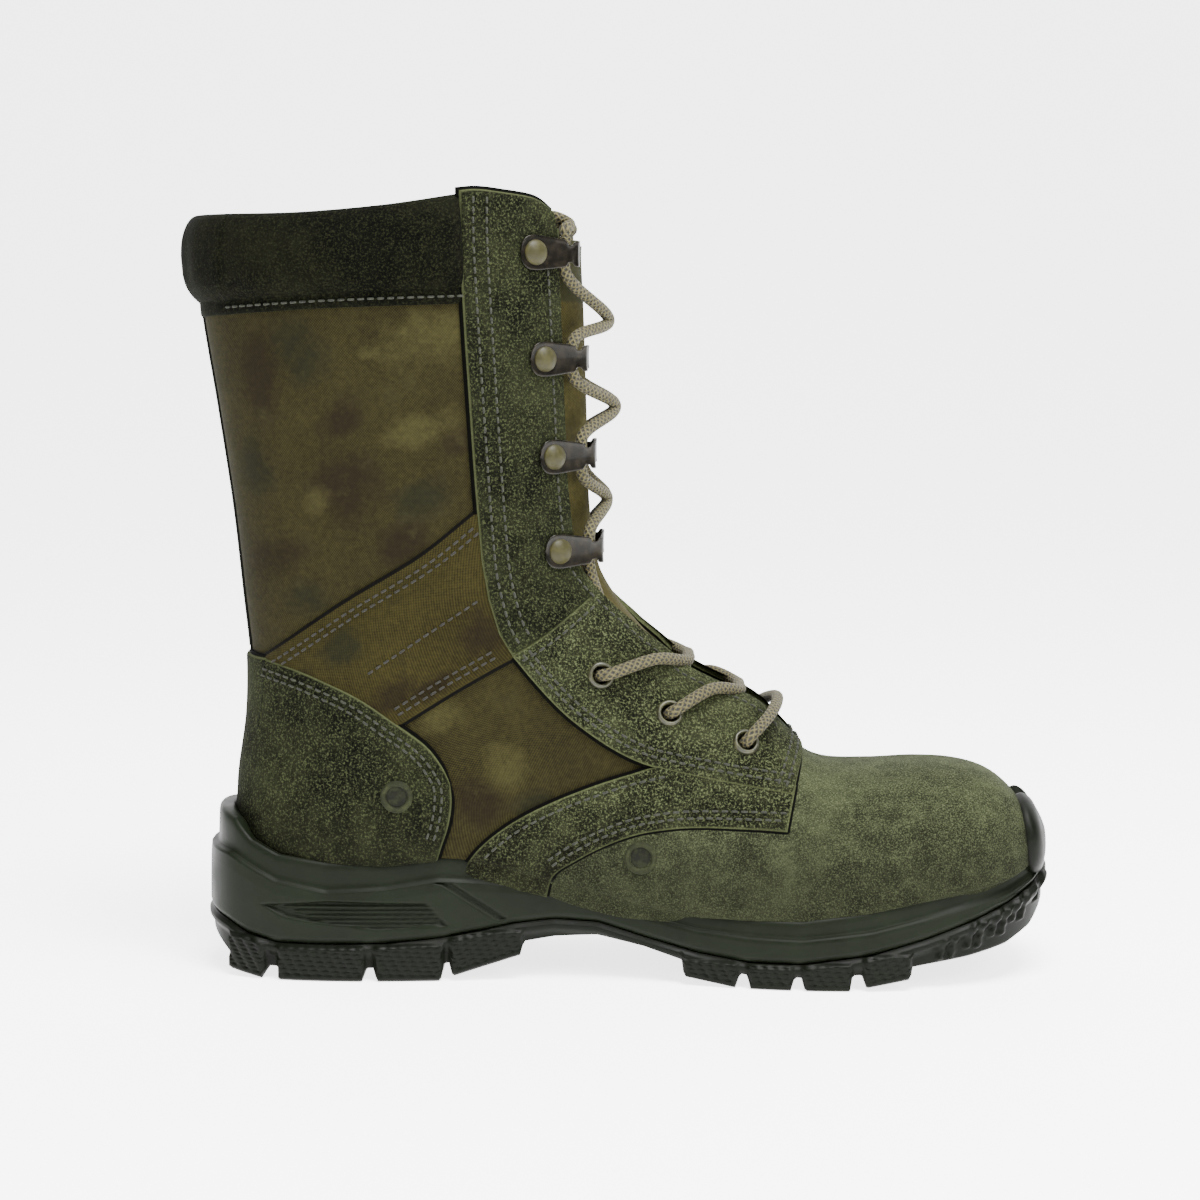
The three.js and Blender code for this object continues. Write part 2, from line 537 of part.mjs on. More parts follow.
// An outline moved out by a distance, for the clearance between neighbours.
function grown(points, distance) {
  const turn = points.reduce((sum, [x, z], i) => {
    const [nextX, nextZ] = points[(i + 1) % points.length];
    return sum + x * nextZ - nextX * z;
  }, 0);
  const side = turn > 0 ? 1 : -1;
  return points.map(([x, z], i) => {
    const before = points[(i + points.length - 1) % points.length];
    const after = points[(i + 1) % points.length];
    const into = new THREE.Vector2(x - before[0], z - before[1]).normalize();
    const out = new THREE.Vector2(after[0] - x, after[1] - z).normalize();
    const across = new THREE.Vector2(into.y + out.y, -into.x - out.x).normalize();
    const stretch = 1 / Math.max(0.5, across.dot(new THREE.Vector2(into.y, -into.x)));
    return [x + across.x * side * distance * stretch, z + across.y * side * distance * stretch];
  });
}

const SIDES = { near: [-FAR, -1], far: [1, FAR] };
const stitchedOver = (name) => sidePrism(grown(overlayPoints(name), GAP), -FAR, FAR);

// An overlay of a given thickness, on one side or round both, stopped at its neighbours.
function makeOverlay(name, side, thickness, neighbours) {
  const [fromY, toY] = side ? SIDES[side] : [-FAR, FAR];
  let overlay = last(GAP + thickness).subtract(last(GAP));
  overlay = overlay.intersect(sidePrism(overlayPoints(name), fromY, toY));
  overlay = overlay.subtract(throat(0)).subtract(soleWall(GAP, -FAR));
  for (const neighbour of neighbours) overlay = overlay.subtract(stitchedOver(neighbour));
  return overlay.subtract(eyeletHoles());
}

function makeCuff() {
  const outside = last(GAP + CUFF_THICKNESS).subtract(last(GAP));
  const over = last(GAP + CUFF_THICKNESS).subtract(last(-WALL - CUFF_INSIDE)).intersect(aboveCollar(GAP));
  const roll = outside.add(over).intersect(sidePrism(overlayPoints("cuff"), -FAR, FAR));
  return roll.subtract(stitchedOver("facing")).subtract(throat(0));
}

function makeBackStrip() {
  const [low, high] = [levelToHeight(STRIP_RUN.low), levelToHeight(STRIP_RUN.high)];
  const middle = STRIP_RUN.x * SOLE_LENGTH;
  const outline = [[-FAR, low], [middle, low], [middle, high], [-FAR, high]];
  const band = sidePrism(outline, -STRIP_WIDTH / 2, STRIP_WIDTH / 2);
  return last(GAP + STRIP_THICKNESS).subtract(last(GAP)).intersect(band);
}

// The spot of the last seen at a length and height from one side: its row, angle, point and normal.
function lastSpot(x, z, side) {
  const sign = side === "near" ? -1 : 1;
  let best = { row: 8, angle: sign, error: Infinity };
  let span = 1;
  for (let round = 0; round < 7; round += 1) {
    const centre = best;
    for (let i = -10; i <= 10; i += 1) {
      for (let j = -10; j <= 10; j += 1) {
        const row = Math.min(20.5, Math.max(0, (round ? centre.row : 10.25) + i * span));
        const angle = (round ? centre.angle : sign * 1.2) + j * span * 0.11;
        if (angle * sign < 0.05 || angle * sign > 2.6) continue;
        const point = lastPoint(row, angle);
        const error = Math.hypot(point.x - x, point.z - z);
        if (error < best.error) best = { row, angle, error };
      }
    }
    span *= 0.3;
  }
  return { ...best, point: lastPoint(best.row, best.angle), normal: lastNormal(best.row, best.angle) };
}

// A matrix that stands a fitting on the last: its Z is the normal and its X points forwards.
function standing(x, z, side, offset) {
  const spot = lastSpot(x, z, side);
  const forward = new THREE.Vector3(1, 0, 0);
  forward.addScaledVector(spot.normal, -forward.dot(spot.normal)).normalize();
  const up = new THREE.Vector3().crossVectors(spot.normal, forward);
  const matrix = new THREE.Matrix4().makeBasis(forward, up, spot.normal);
  return matrix.setPosition(spot.point.addScaledVector(spot.normal, offset));
}

// Places of the fittings, as shares of the sole's length and levels
const EYELETS = [[0.468, 0.885], [0.548, 0.767], [0.636, 0.679]];
const HOOKS = [[0.39, 1.923], [0.4, 1.671], [0.41, 1.436], [0.417, 1.207]];
const VENTS = [
  { x: 0.234, level: 0.541, offset: GAP + SUEDE },
  { x: 0.516, level: 0.364, offset: 0 },
];

const HOLE_DEPTH = 12;
const HOLE_SIDES = 8;

function eyeletHoles() {
  const holes = [];
  for (const [x, level] of EYELETS) {
    for (const side of ["near", "far"]) {
      const geometry = new THREE.CylinderGeometry(EYELET_HOLE, EYELET_HOLE, HOLE_DEPTH, HOLE_SIDES);
      const place = standing(x * SOLE_LENGTH, levelToHeight(level), side, 0);
      holes.push(solidFromGeometry(geometry.rotateX(Math.PI / 2).applyMatrix4(place)));
    }
  }
  return holes.reduce((all, hole) => all.add(hole));
}

// A round fitting turned from a profile of [radius, height] points.
const turned = (profile, sides) =>
  new THREE.LatheGeometry(profile.map(([r, h]) => new THREE.Vector2(r, h)), sides).rotateX(Math.PI / 2);

const FITTING_SIDES = 10;
const ring = (outer, inner, height) => {
  const profile = [[inner, 0], [outer, 0], [outer, height * 0.6], [(outer + inner) / 2, height], [inner, 0]];
  return turned(profile, FITTING_SIDES);
};

// Half outline of a hook's plate from its rounded heel to its tip, as shares of the plate's half width
const HOOK_OUTLINE = [
  [-0.92, 0.58], [-0.5, 0.93], [0.17, 1], [2, 0.78], [2.17, 0.5], [2.5, 0.5], [2.55, 0.72], [3, 0.67],
];
// The tip's fold, and the rivet's profile as shares of its radius
const HOOK_TIP = { x: HOOK_HALF_WIDTH * 2.93, width: HOOK_HALF_WIDTH * 1.17, depth: HOOK_HALF_WIDTH * 0.43 };
const RIVET_PROFILE = [[0, 0.09], [1, 0.09], [1, 0.34], [0.55, 0.59], [0, 0.64]];

// Lace hook: a plate with a notched neck, its tip folded inwards, under a domed rivet.
function makeHook(matrix) {
  const half = HOOK_OUTLINE.map(([x, y]) => [x * HOOK_HALF_WIDTH, y * HOOK_HALF_WIDTH]);
  const outline = [...half, ...half.map(([x, y]) => [x, -y]).reverse()];
  const shape = new THREE.Shape(outline.map(([x, y]) => new THREE.Vector2(x, y)).reverse());
  const settings = { depth: PLATE_THICKNESS, bevelEnabled: false };
  const plate = solidFromGeometry(new THREE.ExtrudeGeometry(shape, settings));
  const tip = new THREE.BoxGeometry(PLATE_THICKNESS, HOOK_TIP.width, HOOK_TIP.depth);
  tip.translate(HOOK_TIP.x, 0, (PLATE_THICKNESS - HOOK_TIP.depth) / 2);
  const rivet = turned(RIVET_PROFILE.map(([r, h]) => [r * RIVET_RADIUS, h * RIVET_RADIUS]), FITTING_SIDES);
  const hook = plate.add(solidFromGeometry(tip)).add(solidFromGeometry(rivet));
  return hook.transform(matrix.elements);
}

// Crossings of the lace over the middle of the throat: section row, and lift over the last.
const CROSSINGS = [
  { row: 1.23, lift: 6.5 },
  { row: 2.0, lift: 8 },
  { row: 3.05, lift: 4 },
  { row: 4.6, lift: 3.5 },
  { row: 7.4, lift: 6 },
  { row: 9.6, lift: 6 },
];
const LAST_BAR = { row: 11.3, lift: 6.5 };
const HOOK_NECK = 14;
const HOOK_SEAT = GAP * 3 + FACING_SUEDE;
const NECK_RUN = 6;
const EDGE_LIFT = 6.6;
const EYELET_LIFT = GAP * 4 + FACING_SUEDE + LACE_RADIUS + 2.1;

const crossing = ({ row, lift }) => lastPoint(row, 0).addScaledVector(lastNormal(row, 0), lift);
const standingAt = ([x, level], side, offset) =>
  standing(x * SOLE_LENGTH, levelToHeight(level), side, offset);

// The two points above and below a hook's neck that the lace passes, behind its plate.
function neckPoints(hook, side) {
  const behind = new THREE.Vector3(HOOK_NECK, 0, -LACE_RADIUS - GAP * 3);
  const neck = behind.applyMatrix4(standingAt(hook, side, HOOK_SEAT));
  return [NECK_RUN, -NECK_RUN].map((lift) => neck.clone().add(new THREE.Vector3(0, 0, lift)));
}

// Points over an eyelet and half way to the crossings before and after it, where the lace clears the eyestay.
function eyeletPoints([x, level], side, before, after) {
  const spot = lastSpot(x * SOLE_LENGTH, levelToHeight(level), side);
  const lifted = (row, angle, lift) => lastPoint(row, angle).addScaledVector(lastNormal(row, angle), lift);
  const edge = (row) => lifted(lerp(spot.row, row, 0.5), spot.angle * 0.5, EDGE_LIFT);
  return [edge(before.row), lifted(spot.row, spot.angle, EYELET_LIFT), edge(after.row)];
}

const LACE_SIDES = 5;
const STRAND_STEPS = 48;
const END_STEPS = 12;

// A cord of the lace's thickness along a smooth path.
function cord(points, steps) {
  const outline = [];
  for (let i = 0; i < LACE_SIDES; i += 1) {
    const angle = (i / LACE_SIDES) * 2 * Math.PI;
    outline.push(new THREE.Vector2(Math.cos(angle) * LACE_RADIUS, Math.sin(angle) * LACE_RADIUS));
  }
  const path = new THREE.CatmullRomCurve3(points, false, "centripetal");
  const settings = { steps, extrudePath: path, bevelEnabled: false };
  return solidFromGeometry(new THREE.ExtrudeGeometry(new THREE.Shape(outline), settings));
}
const other = (side) => (side === "near" ? "far" : "near");

// One strand: from hook to hook and eyelet to eyelet, changing sides at each crossing, to the last bar.
function strand(firstSide) {
  const points = [];
  let side = firstSide;
  HOOKS.forEach((hook, i) => {
    points.push(...neckPoints(hook, side), crossing(CROSSINGS[i]));
    side = other(side);
  });
  EYELETS.forEach((eyelet, i) => {
    const before = CROSSINGS[HOOKS.length + i - 1];
    const after = CROSSINGS[HOOKS.length + i] ?? LAST_BAR;
    points.push(...eyeletPoints(eyelet, side, before, after), crossing(after));
    side = other(side);
  });
  return cord(points, STRAND_STEPS);
}

// A lace end: from the top hook over the tongue's edge and down into the shaft, as shares and levels.
const LACE_END = [
  { x: 0.446, y: 0.2, level: 2.036 },
  { x: 0.412, y: 0.23, level: 2.052 },
  { x: 0.378, y: 0.25, level: 2.02 },
  { x: 0.362, y: 0.255, level: 1.94 },
  { x: 0.358, y: 0.255, level: 1.85 },
];

function laceEnd(side) {
  const sign = side === "near" ? -1 : 1;
  const neck = neckPoints(HOOKS[0], side)[0];
  const start = [GAP, GAP * 8].map((lift) => neck.clone().add(new THREE.Vector3(0, 0, lift)));
  const rest = LACE_END.map(
    ({ x, y, level }) => new THREE.Vector3(x * SOLE_LENGTH, sign * y * SHAFT_WIDTH, levelToHeight(level)),
  );
  return cord([...start, ...rest], END_STEPS);
}

// A vent's raised ring round its screen, as shares of its radius
const VENT_PROFILE = [[0, 0], [1, 0], [1, 0.11], [0.78, 0.2], [0.64, 0.09], [0, 0.09]];
const VENT_SIDES = 14;
const EYELET_HEIGHT = 1.2;

const boot = new THREE.Group();

// Facets that lie flatter than this are merged.
const FLATNESS = 0.1;

function addSolid(name, solid, colour, roughness, metalness = 0) {
  const mesh = solid.simplify(FLATNESS).getMesh();
  const geometry = new THREE.BufferGeometry();
  geometry.setAttribute("position", new THREE.BufferAttribute(new Float32Array(mesh.vertProperties), 3));
  geometry.setIndex(new THREE.BufferAttribute(new Uint32Array(mesh.triVerts), 1));
  const material = new THREE.MeshStandardMaterial({ color: colour, roughness, metalness });
  const node = new THREE.Mesh(geometry, material);
  node.name = name;
  boot.add(node);
}

addSolid("upper", makeUpper(), 0x6b6236, 0.9);
addSolid("midsole", makeMidsole(), 0x3c4a3a, 0.6);
addSolid("outsole", makeOutsole(), 0x364434, 0.6);
addSolid("insole", makeInsole(), 0x3a3a34, 0.9);
addSolid("tongue", makeTongue(), 0x6d6840, 0.9);
addSolid("heel_counter", makeOverlay("counter", null, SUEDE, []), 0x3a4232, 0.95);
addSolid("collar_cuff", makeCuff(), 0x353c2e, 0.95);
addSolid("back_strip", makeBackStrip(), 0x15150f, 0.8);
for (const side of ["near", "far"]) {
  addSolid(`facing_${side}`, makeOverlay("facing", side, FACING_SUEDE, []), 0x424a38, 0.95);
  addSolid(`eyestay_${side}`, makeOverlay("eyestay", side, FACING_SUEDE, ["facing"]), 0x464e3b, 0.95);
  addSolid(`wing_${side}`, makeOverlay("wing", side, SUEDE, ["eyestay"]), 0x3d4534, 0.95);
  const strap = makeOverlay("strap", side, STRAP_THICKNESS, ["counter", "facing", "eyestay"]);
  addSolid(`strap_${side}`, strap, 0x6d6634, 0.9);
}

addSolid("lace", strand("near").add(strand("far")), 0x9a9060, 0.9);
for (const side of ["near", "far"]) {
  addSolid(`lace_end_${side}`, laceEnd(side), 0x9a9060, 0.9);
  HOOKS.forEach((hook, i) => {
    addSolid(`hook_${side}_${i + 1}`, makeHook(standingAt(hook, side, HOOK_SEAT)), 0x3d3420, 0.3, 0.9);
  });
  EYELETS.forEach((eyelet, i) => {
    const grommet = solidFromGeometry(ring(EYELET_RADIUS, EYELET_HOLE, EYELET_HEIGHT));
    const seat = standingAt(eyelet, side, GAP * 2 + FACING_SUEDE);
    addSolid(`eyelet_${side}_${i + 1}`, grommet.transform(seat.elements), 0x8a8a68, 0.4, 0.7);
  });
}
VENTS.forEach(({ x, level, offset }, i) => {
  const profile = VENT_PROFILE.map(([r, h]) => [r * VENT_RADIUS, h * VENT_RADIUS]);
  const vent = solidFromGeometry(turned(profile, VENT_SIDES));
  const seat = standingAt([x, level], "near", offset + GAP * 2);
  addSolid(`vent_${i + 1}`, vent.transform(seat.elements), 0x4a5240, 0.5, 0.4);
});

const box = new THREE.Box3().setFromObject(boot);
boot.position.set(-(box.min.x + box.max.x) / 2, -(box.min.y + box.max.y) / 2, -box.min.z);
boot.updateMatrixWorld(true);

export default boot;
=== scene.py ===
import math

import bmesh
import bpy
import numpy as np
from mathutils import Matrix, Vector


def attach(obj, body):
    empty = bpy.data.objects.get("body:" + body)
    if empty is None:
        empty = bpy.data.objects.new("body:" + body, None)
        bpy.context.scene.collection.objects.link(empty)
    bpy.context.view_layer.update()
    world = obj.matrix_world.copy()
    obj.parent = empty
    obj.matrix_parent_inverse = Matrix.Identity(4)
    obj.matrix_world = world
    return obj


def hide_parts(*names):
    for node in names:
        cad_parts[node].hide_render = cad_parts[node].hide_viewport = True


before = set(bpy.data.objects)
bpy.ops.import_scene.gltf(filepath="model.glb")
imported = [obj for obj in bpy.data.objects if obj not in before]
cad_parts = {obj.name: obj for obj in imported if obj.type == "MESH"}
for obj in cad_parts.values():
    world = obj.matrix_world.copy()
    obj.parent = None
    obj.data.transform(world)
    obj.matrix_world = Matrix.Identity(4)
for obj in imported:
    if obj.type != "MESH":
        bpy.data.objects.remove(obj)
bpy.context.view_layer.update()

# Jungle boot, a left boot seen from its inner side. Sizes here are millimetres in the last's own frame,
# with the heel's back at x = 0 and the floor at z = 0; the meshes are written in metres in the row frame.
MM = 0.001
LENGTH = 302.0
BALL_WIDTH = 97.0
SHAFT_WIDTH = 90.0
INSTEP = 121.0
COLLAR = 265.0
SOLE_WIDTH = 103.0
RIM = 41.5
WALL = 2.0
SHIFT = np.array([-147.748, 0.12, 0.0])

# Camera and studio
CAMERA_PLACE = np.array([147.14, -945.0, 229.1])
CAMERA_AIM = np.array([147.14, 0.0, 132.1])
SENSOR = 36.0
LENS = 79.03
PHOTO_SIDE = 1200.0
AIM_PIXEL = (616.0, 596.0)


def to_row(points):
    """Points of the last's frame in millimetres, as points of the row frame in metres."""
    return (np.asarray(points, float) + SHIFT) * MM


def look_at(obj, place, aim):
    obj.location = Vector(to_row(place))
    heading = Vector(to_row(aim)) - obj.location
    obj.rotation_euler = heading.to_track_quat("-Z", "Y").to_euler()
    bpy.context.collection.objects.link(obj)


def make_camera():
    data = bpy.data.cameras.new("camera")
    data.sensor_width = SENSOR
    data.lens = LENS
    data.shift_x = (PHOTO_SIDE / 2 - AIM_PIXEL[0]) / PHOTO_SIDE
    data.shift_y = (AIM_PIXEL[1] - PHOTO_SIDE / 2) / PHOTO_SIDE
    camera = bpy.data.objects.new("camera", data)
    look_at(camera, CAMERA_PLACE, CAMERA_AIM)
    bpy.context.scene.camera = camera


def make_light(name, place, aim, size, power, colour=(1.0, 1.0, 1.0)):
    data = bpy.data.lights.new(name, "AREA")
    data.shape = "DISK"
    data.size = size
    data.energy = power
    data.color = colour
    look_at(bpy.data.objects.new(name, data), place, aim)


def put_mesh(name, vertices, faces, smooth=True):
    """A mesh object in the row frame, from points of the last's frame and rows of four corners.

    A face whose last corner is doubled is a triangle.
    """
    vertices = to_row(vertices)
    faces = np.asarray(faces, np.int64)
    used = np.ones(faces.shape, bool)
    used[:, -1] = faces[:, -1] != faces[:, -2]
    sides = used.sum(axis=1)
    mesh = bpy.data.meshes.new(name)
    mesh.vertices.add(len(vertices))
    mesh.vertices.foreach_set("co", vertices.ravel())
    mesh.loops.add(int(sides.sum()))
    mesh.loops.foreach_set("vertex_index", faces[used])
    mesh.polygons.add(len(faces))
    mesh.polygons.foreach_set("loop_start", np.concatenate([[0], np.cumsum(sides)[:-1]]))
    mesh.polygons.foreach_set("loop_total", sides)
    mesh.polygons.foreach_set("use_smooth", np.full(len(faces), smooth))
    mesh.update(calc_edges=True)
    mesh.validate()
    obj = bpy.data.objects.new(name, mesh)
    bpy.context.collection.objects.link(obj)
    return obj


def grid_faces(rows, columns, closed_rows=False, closed_columns=False):
    """Four-sided faces of a grid of rows by columns, wrapped round where it is closed."""
    i = np.arange(rows if closed_rows else rows - 1)
    j = np.arange(columns if closed_columns else columns - 1)
    i, j = np.meshgrid(i, j, indexing="ij")
    a = i * columns + j
    b = i * columns + (j + 1) % columns
    c = ((i + 1) % rows) * columns + (j + 1) % columns
    d = ((i + 1) % rows) * columns + j
    return np.stack([a, b, c, d], axis=-1).reshape(-1, 4)


def add_uv(obj, uv):
    """A UV map from one (u, v) pair for each vertex."""
    layer = obj.data.uv_layers.new(name="surface")
    index = np.empty(len(obj.data.loops), np.int64)
    obj.data.loops.foreach_get("vertex_index", index)
    layer.data.foreach_set("uv", np.asarray(uv, float)[index].ravel())


def dress(obj, material, nodes=()):
    """Gives a piece its material and its body, and hides the CAD nodes that it stands for."""
    obj.data.materials.append(material)
    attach(obj, "root")
    if nodes:
        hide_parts(*nodes)
    return obj


# Sections of the last, as in the part: shares of the length, levels, and shares of the width
SECTION_COLUMNS = ("back_x", "back_z", "front_x", "front_z", "inner", "outer", "drift", "widest", "front_power", "back_power")
SECTIONS = np.array([
    (-0.013, 2.14, 0.448, 2.14, 0.5, 0.5, 0, 0.5, 2.2, 2.2),
    (0.0, 1.83, 0.456, 1.83, 0.5, 0.5, 0, 0.5, 2.2, 2.2),
    (0.02, 1.55, 0.46, 1.55, 0.478, 0.478, 0, 0.5, 2.2, 2.2),
    (0.036, 1.31, 0.463, 1.33, 0.438, 0.438, 0, 0.5, 2.3, 2.2),
    (0.046, 1.1, 0.473, 1.18, 0.402, 0.402, 0.005, 0.5, 2.4, 2.2),
    (0.053, 0.93, 0.493, 1.09, 0.387, 0.387, 0.01, 0.5, 2.5, 2.2),
    (0.051, 0.745, 0.52, 1.02, 0.376, 0.376, 0.015, 0.5, 2.7, 2.2),
    (0.04, 0.53, 0.548, 0.955, 0.378, 0.378, 0.015, 0.48, 2.8, 2.3),
    (0.046, 0.33, 0.573, 0.897, 0.38, 0.38, 0.01, 0.46, 2.8, 2.7),
    (0.116, 0.24, 0.599, 0.855, 0.378, 0.38, 0.01, 0.44, 2.8, 3.8),
    (0.232, 0.215, 0.629, 0.814, 0.376, 0.388, 0.01, 0.42, 2.8, 4.6),
    (0.364, 0.182, 0.657, 0.769, 0.385, 0.41, 0.005, 0.4, 2.7, 5),
    (0.48, 0.124, 0.684, 0.698, 0.415, 0.445, 0, 0.37, 2.6, 5),
    (0.579, 0.083, 0.709, 0.628, 0.448, 0.48, -0.005, 0.35, 2.5, 5),
    (0.679, 0.07, 0.742, 0.595, 0.48, 0.51, -0.01, 0.34, 2.4, 5),
    (0.768, 0.083, 0.795, 0.593, 0.485, 0.505, -0.02, 0.34, 2.4, 5),
    (0.844, 0.12, 0.848, 0.6, 0.465, 0.47, -0.03, 0.34, 2.5, 4.6),
    (0.901, 0.161, 0.894, 0.595, 0.42, 0.415, -0.045, 0.36, 2.6, 4),
    (0.94, 0.207, 0.93, 0.57, 0.352, 0.34, -0.055, 0.4, 2.6, 3.4),
    (0.964, 0.256, 0.957, 0.517, 0.272, 0.26, -0.06, 0.44, 2.5, 3),
    (0.978, 0.314, 0.975, 0.446, 0.165, 0.16, -0.065, 0.47, 2.3, 2.5),
    (0.983, 0.365, 0.983, 0.405, 0.05, 0.05, -0.068, 0.5, 2, 2),
], float)
LAST_ROW = len(SECTIONS) - 1.0


def catmull(table, place):
    """Smooth values between a table's rows: the Catmull-Rom cubic through four rows."""
    place = np.clip(np.asarray(place, float), 0, len(table) - 1)
    i = np.minimum(np.floor(place).astype(int), len(table) - 2)
    t = (place - i)[..., None]
    a, b, c, d = (table[np.clip(i + k, 0, len(table) - 1)] for k in (-1, 0, 1, 2))
    return 0.5 * (2 * b + (c - a) * t + (2 * a - 5 * b + 4 * c - d) * t**2 + (3 * b - a - 3 * c + d) * t**3)


def level_height(level):
    """Height of a level: 0 is the floor, 1 the instep bend, 2 the collar."""
    return np.where(level <= 1, level * INSTEP, INSTEP + (level - 1) * (COLLAR - INSTEP))


def last_point(row, angle):
    """The last's surface: in the section's plane, a rounded shape |cos|^n + |sin|^n = 1 between its back and front."""
    row, angle = np.broadcast_arrays(np.asarray(row, float), np.asarray(angle, float))
    value = dict(zip(SECTION_COLUMNS, np.moveaxis(catmull(SECTIONS, row), -1, 0)))
    unit = BALL_WIDTH + (SHAFT_WIDTH - BALL_WIDTH) * np.clip((value["front_z"] - 1) * 2, 0, 1)
    along, across = np.cos(angle), np.sin(angle)
    power = np.where(along > 0, value["front_power"], value["back_power"])
    size = (np.abs(along) ** power + np.abs(across) ** power) ** (-1 / power)
    reach = np.where(along > 0, 1 - value["widest"], value["widest"])
    share = value["widest"] + along * size * reach
    side = np.where(across > 0, value["outer"], value["inner"])
    x = (value["back_x"] + (value["front_x"] - value["back_x"]) * share) * LENGTH
    back_z, front_z = level_height(value["back_z"]), level_height(value["front_z"])
    z = back_z + (front_z - back_z) * share
    y = (value["drift"] + across * size * side) * unit
    return np.stack([x, y, z], axis=-1)


def last_normal(row, angle, step=0.01):
    """The outward normal: the cross product of the steps down and round the surface."""
    row = np.asarray(row, float)
    down = last_point(np.minimum(row + step, LAST_ROW), angle) - last_point(np.maximum(row - step, 0), angle)
    around = last_point(row, angle + step) - last_point(row, angle - step)
    normal = np.cross(down, around)
    return normal / np.linalg.norm(normal, axis=-1, keepdims=True)


def last_offset(row, angle, offset):
    return last_point(row, angle) + last_normal(row, angle) * np.asarray(offset, float)[..., None]


SEARCH_ROWS, SEARCH_ANGLES = np.meshgrid(np.linspace(0, 20.6, 207), np.linspace(0.04, 3.1, 154), indexing="ij")
SEARCH_POINTS = {sign: last_point(SEARCH_ROWS, sign * SEARCH_ANGLES) for sign in (-1, 1)}


def find_on_last(x, z, sign, offset=0.0):
    """Rows and angles of the points seen at (x, z) from one side: the nearest grid point, then Newton steps."""
    x, z = np.atleast_1d(np.asarray(x, float)), np.atleast_1d(np.asarray(z, float))
    grid = SEARCH_POINTS[sign]
    miss = (grid[None, ..., 0] - x[:, None, None]) ** 2 + (grid[None, ..., 2] - z[:, None, None]) ** 2
    best = miss.reshape(len(x), -1).argmin(axis=1)
    row, angle = SEARCH_ROWS.ravel()[best], SEARCH_ANGLES.ravel()[best]
    step = 1e-3
    for _ in range(6):
        here = last_offset(row, sign * angle, offset)
        by_row = (last_offset(row + step, sign * angle, offset) - here) / step
        by_angle = (last_offset(row, sign * (angle + step), offset) - here) / step
        error = np.stack([x - here[:, 0], z - here[:, 2]], axis=-1)
        det = by_row[:, 0] * by_angle[:, 2] - by_row[:, 2] * by_angle[:, 0]
        det = np.where(np.abs(det) < 1e-2, np.copysign(1e-2, det + 1e-12), det)
        d_row = (error[:, 0] * by_angle[:, 2] - error[:, 1] * by_angle[:, 0]) / det
        d_angle = (error[:, 1] * by_row[:, 0] - error[:, 0] * by_row[:, 2]) / det
        row = np.clip(row + np.clip(d_row, -0.1, 0.1), 0, 20.9)
        angle = np.clip(angle + np.clip(d_angle, -0.04, 0.04), 0.01, math.pi - 0.001)
    return row, angle


def smooth_curve(points, count, corners=False):
    """A curve of evenly spaced points through given ones; with corners it keeps them sharp."""
    points = np.asarray(points, float)
    dense = points if corners else catmull(points, np.linspace(0, len(points) - 1, 12 * len(points)))
    gone = np.concatenate([[0], np.cumsum(np.linalg.norm(np.diff(dense, axis=0), axis=1))])
    at = np.linspace(0, gone[-1], count)
    return np.stack([np.interp(at, gone, dense[:, k]) for k in range(dense.shape[1])], axis=-1)


def side_curve(points, sign, count, corners=False):
    """Rows and signed angles along a side-view curve of [x, z] points in millimetres."""
    curve = smooth_curve(points, count, corners)
    row, angle = find_on_last(curve[:, 0], curve[:, 1], sign)
    return np.stack([row, sign * angle], axis=-1)


class Value:
    """A socket that takes part in plain arithmetic: each step is one Math node."""

    def __init__(self, tree, socket):
        self.tree = tree
        self.socket = socket

    def math(self, operation, *others, clamp=False):
        node = self.tree.nodes.new("ShaderNodeMath")
        node.operation = operation
        node.use_clamp = clamp
        for entry, other in zip(node.inputs, (self, *others)):
            plug(self.tree, entry, other)
        return Value(self.tree, node.outputs[0])

    def __add__(self, other):
        return self.math("ADD", other)

    __radd__ = __add__

    def __mul__(self, other):
        return self.math("MULTIPLY", other)

    __rmul__ = __mul__

    def __sub__(self, other):
        return self.math("SUBTRACT", other)

    def __rsub__(self, other):
        return self * -1.0 + other

    def __pow__(self, other):
        return self.math("POWER", other)


def plug(tree, entry, value):
    """Links a Value to a node's input, or sets the input's own number."""
    if isinstance(value, Value):
        tree.links.new(value.socket, entry)
    else:
        entry.default_value = value


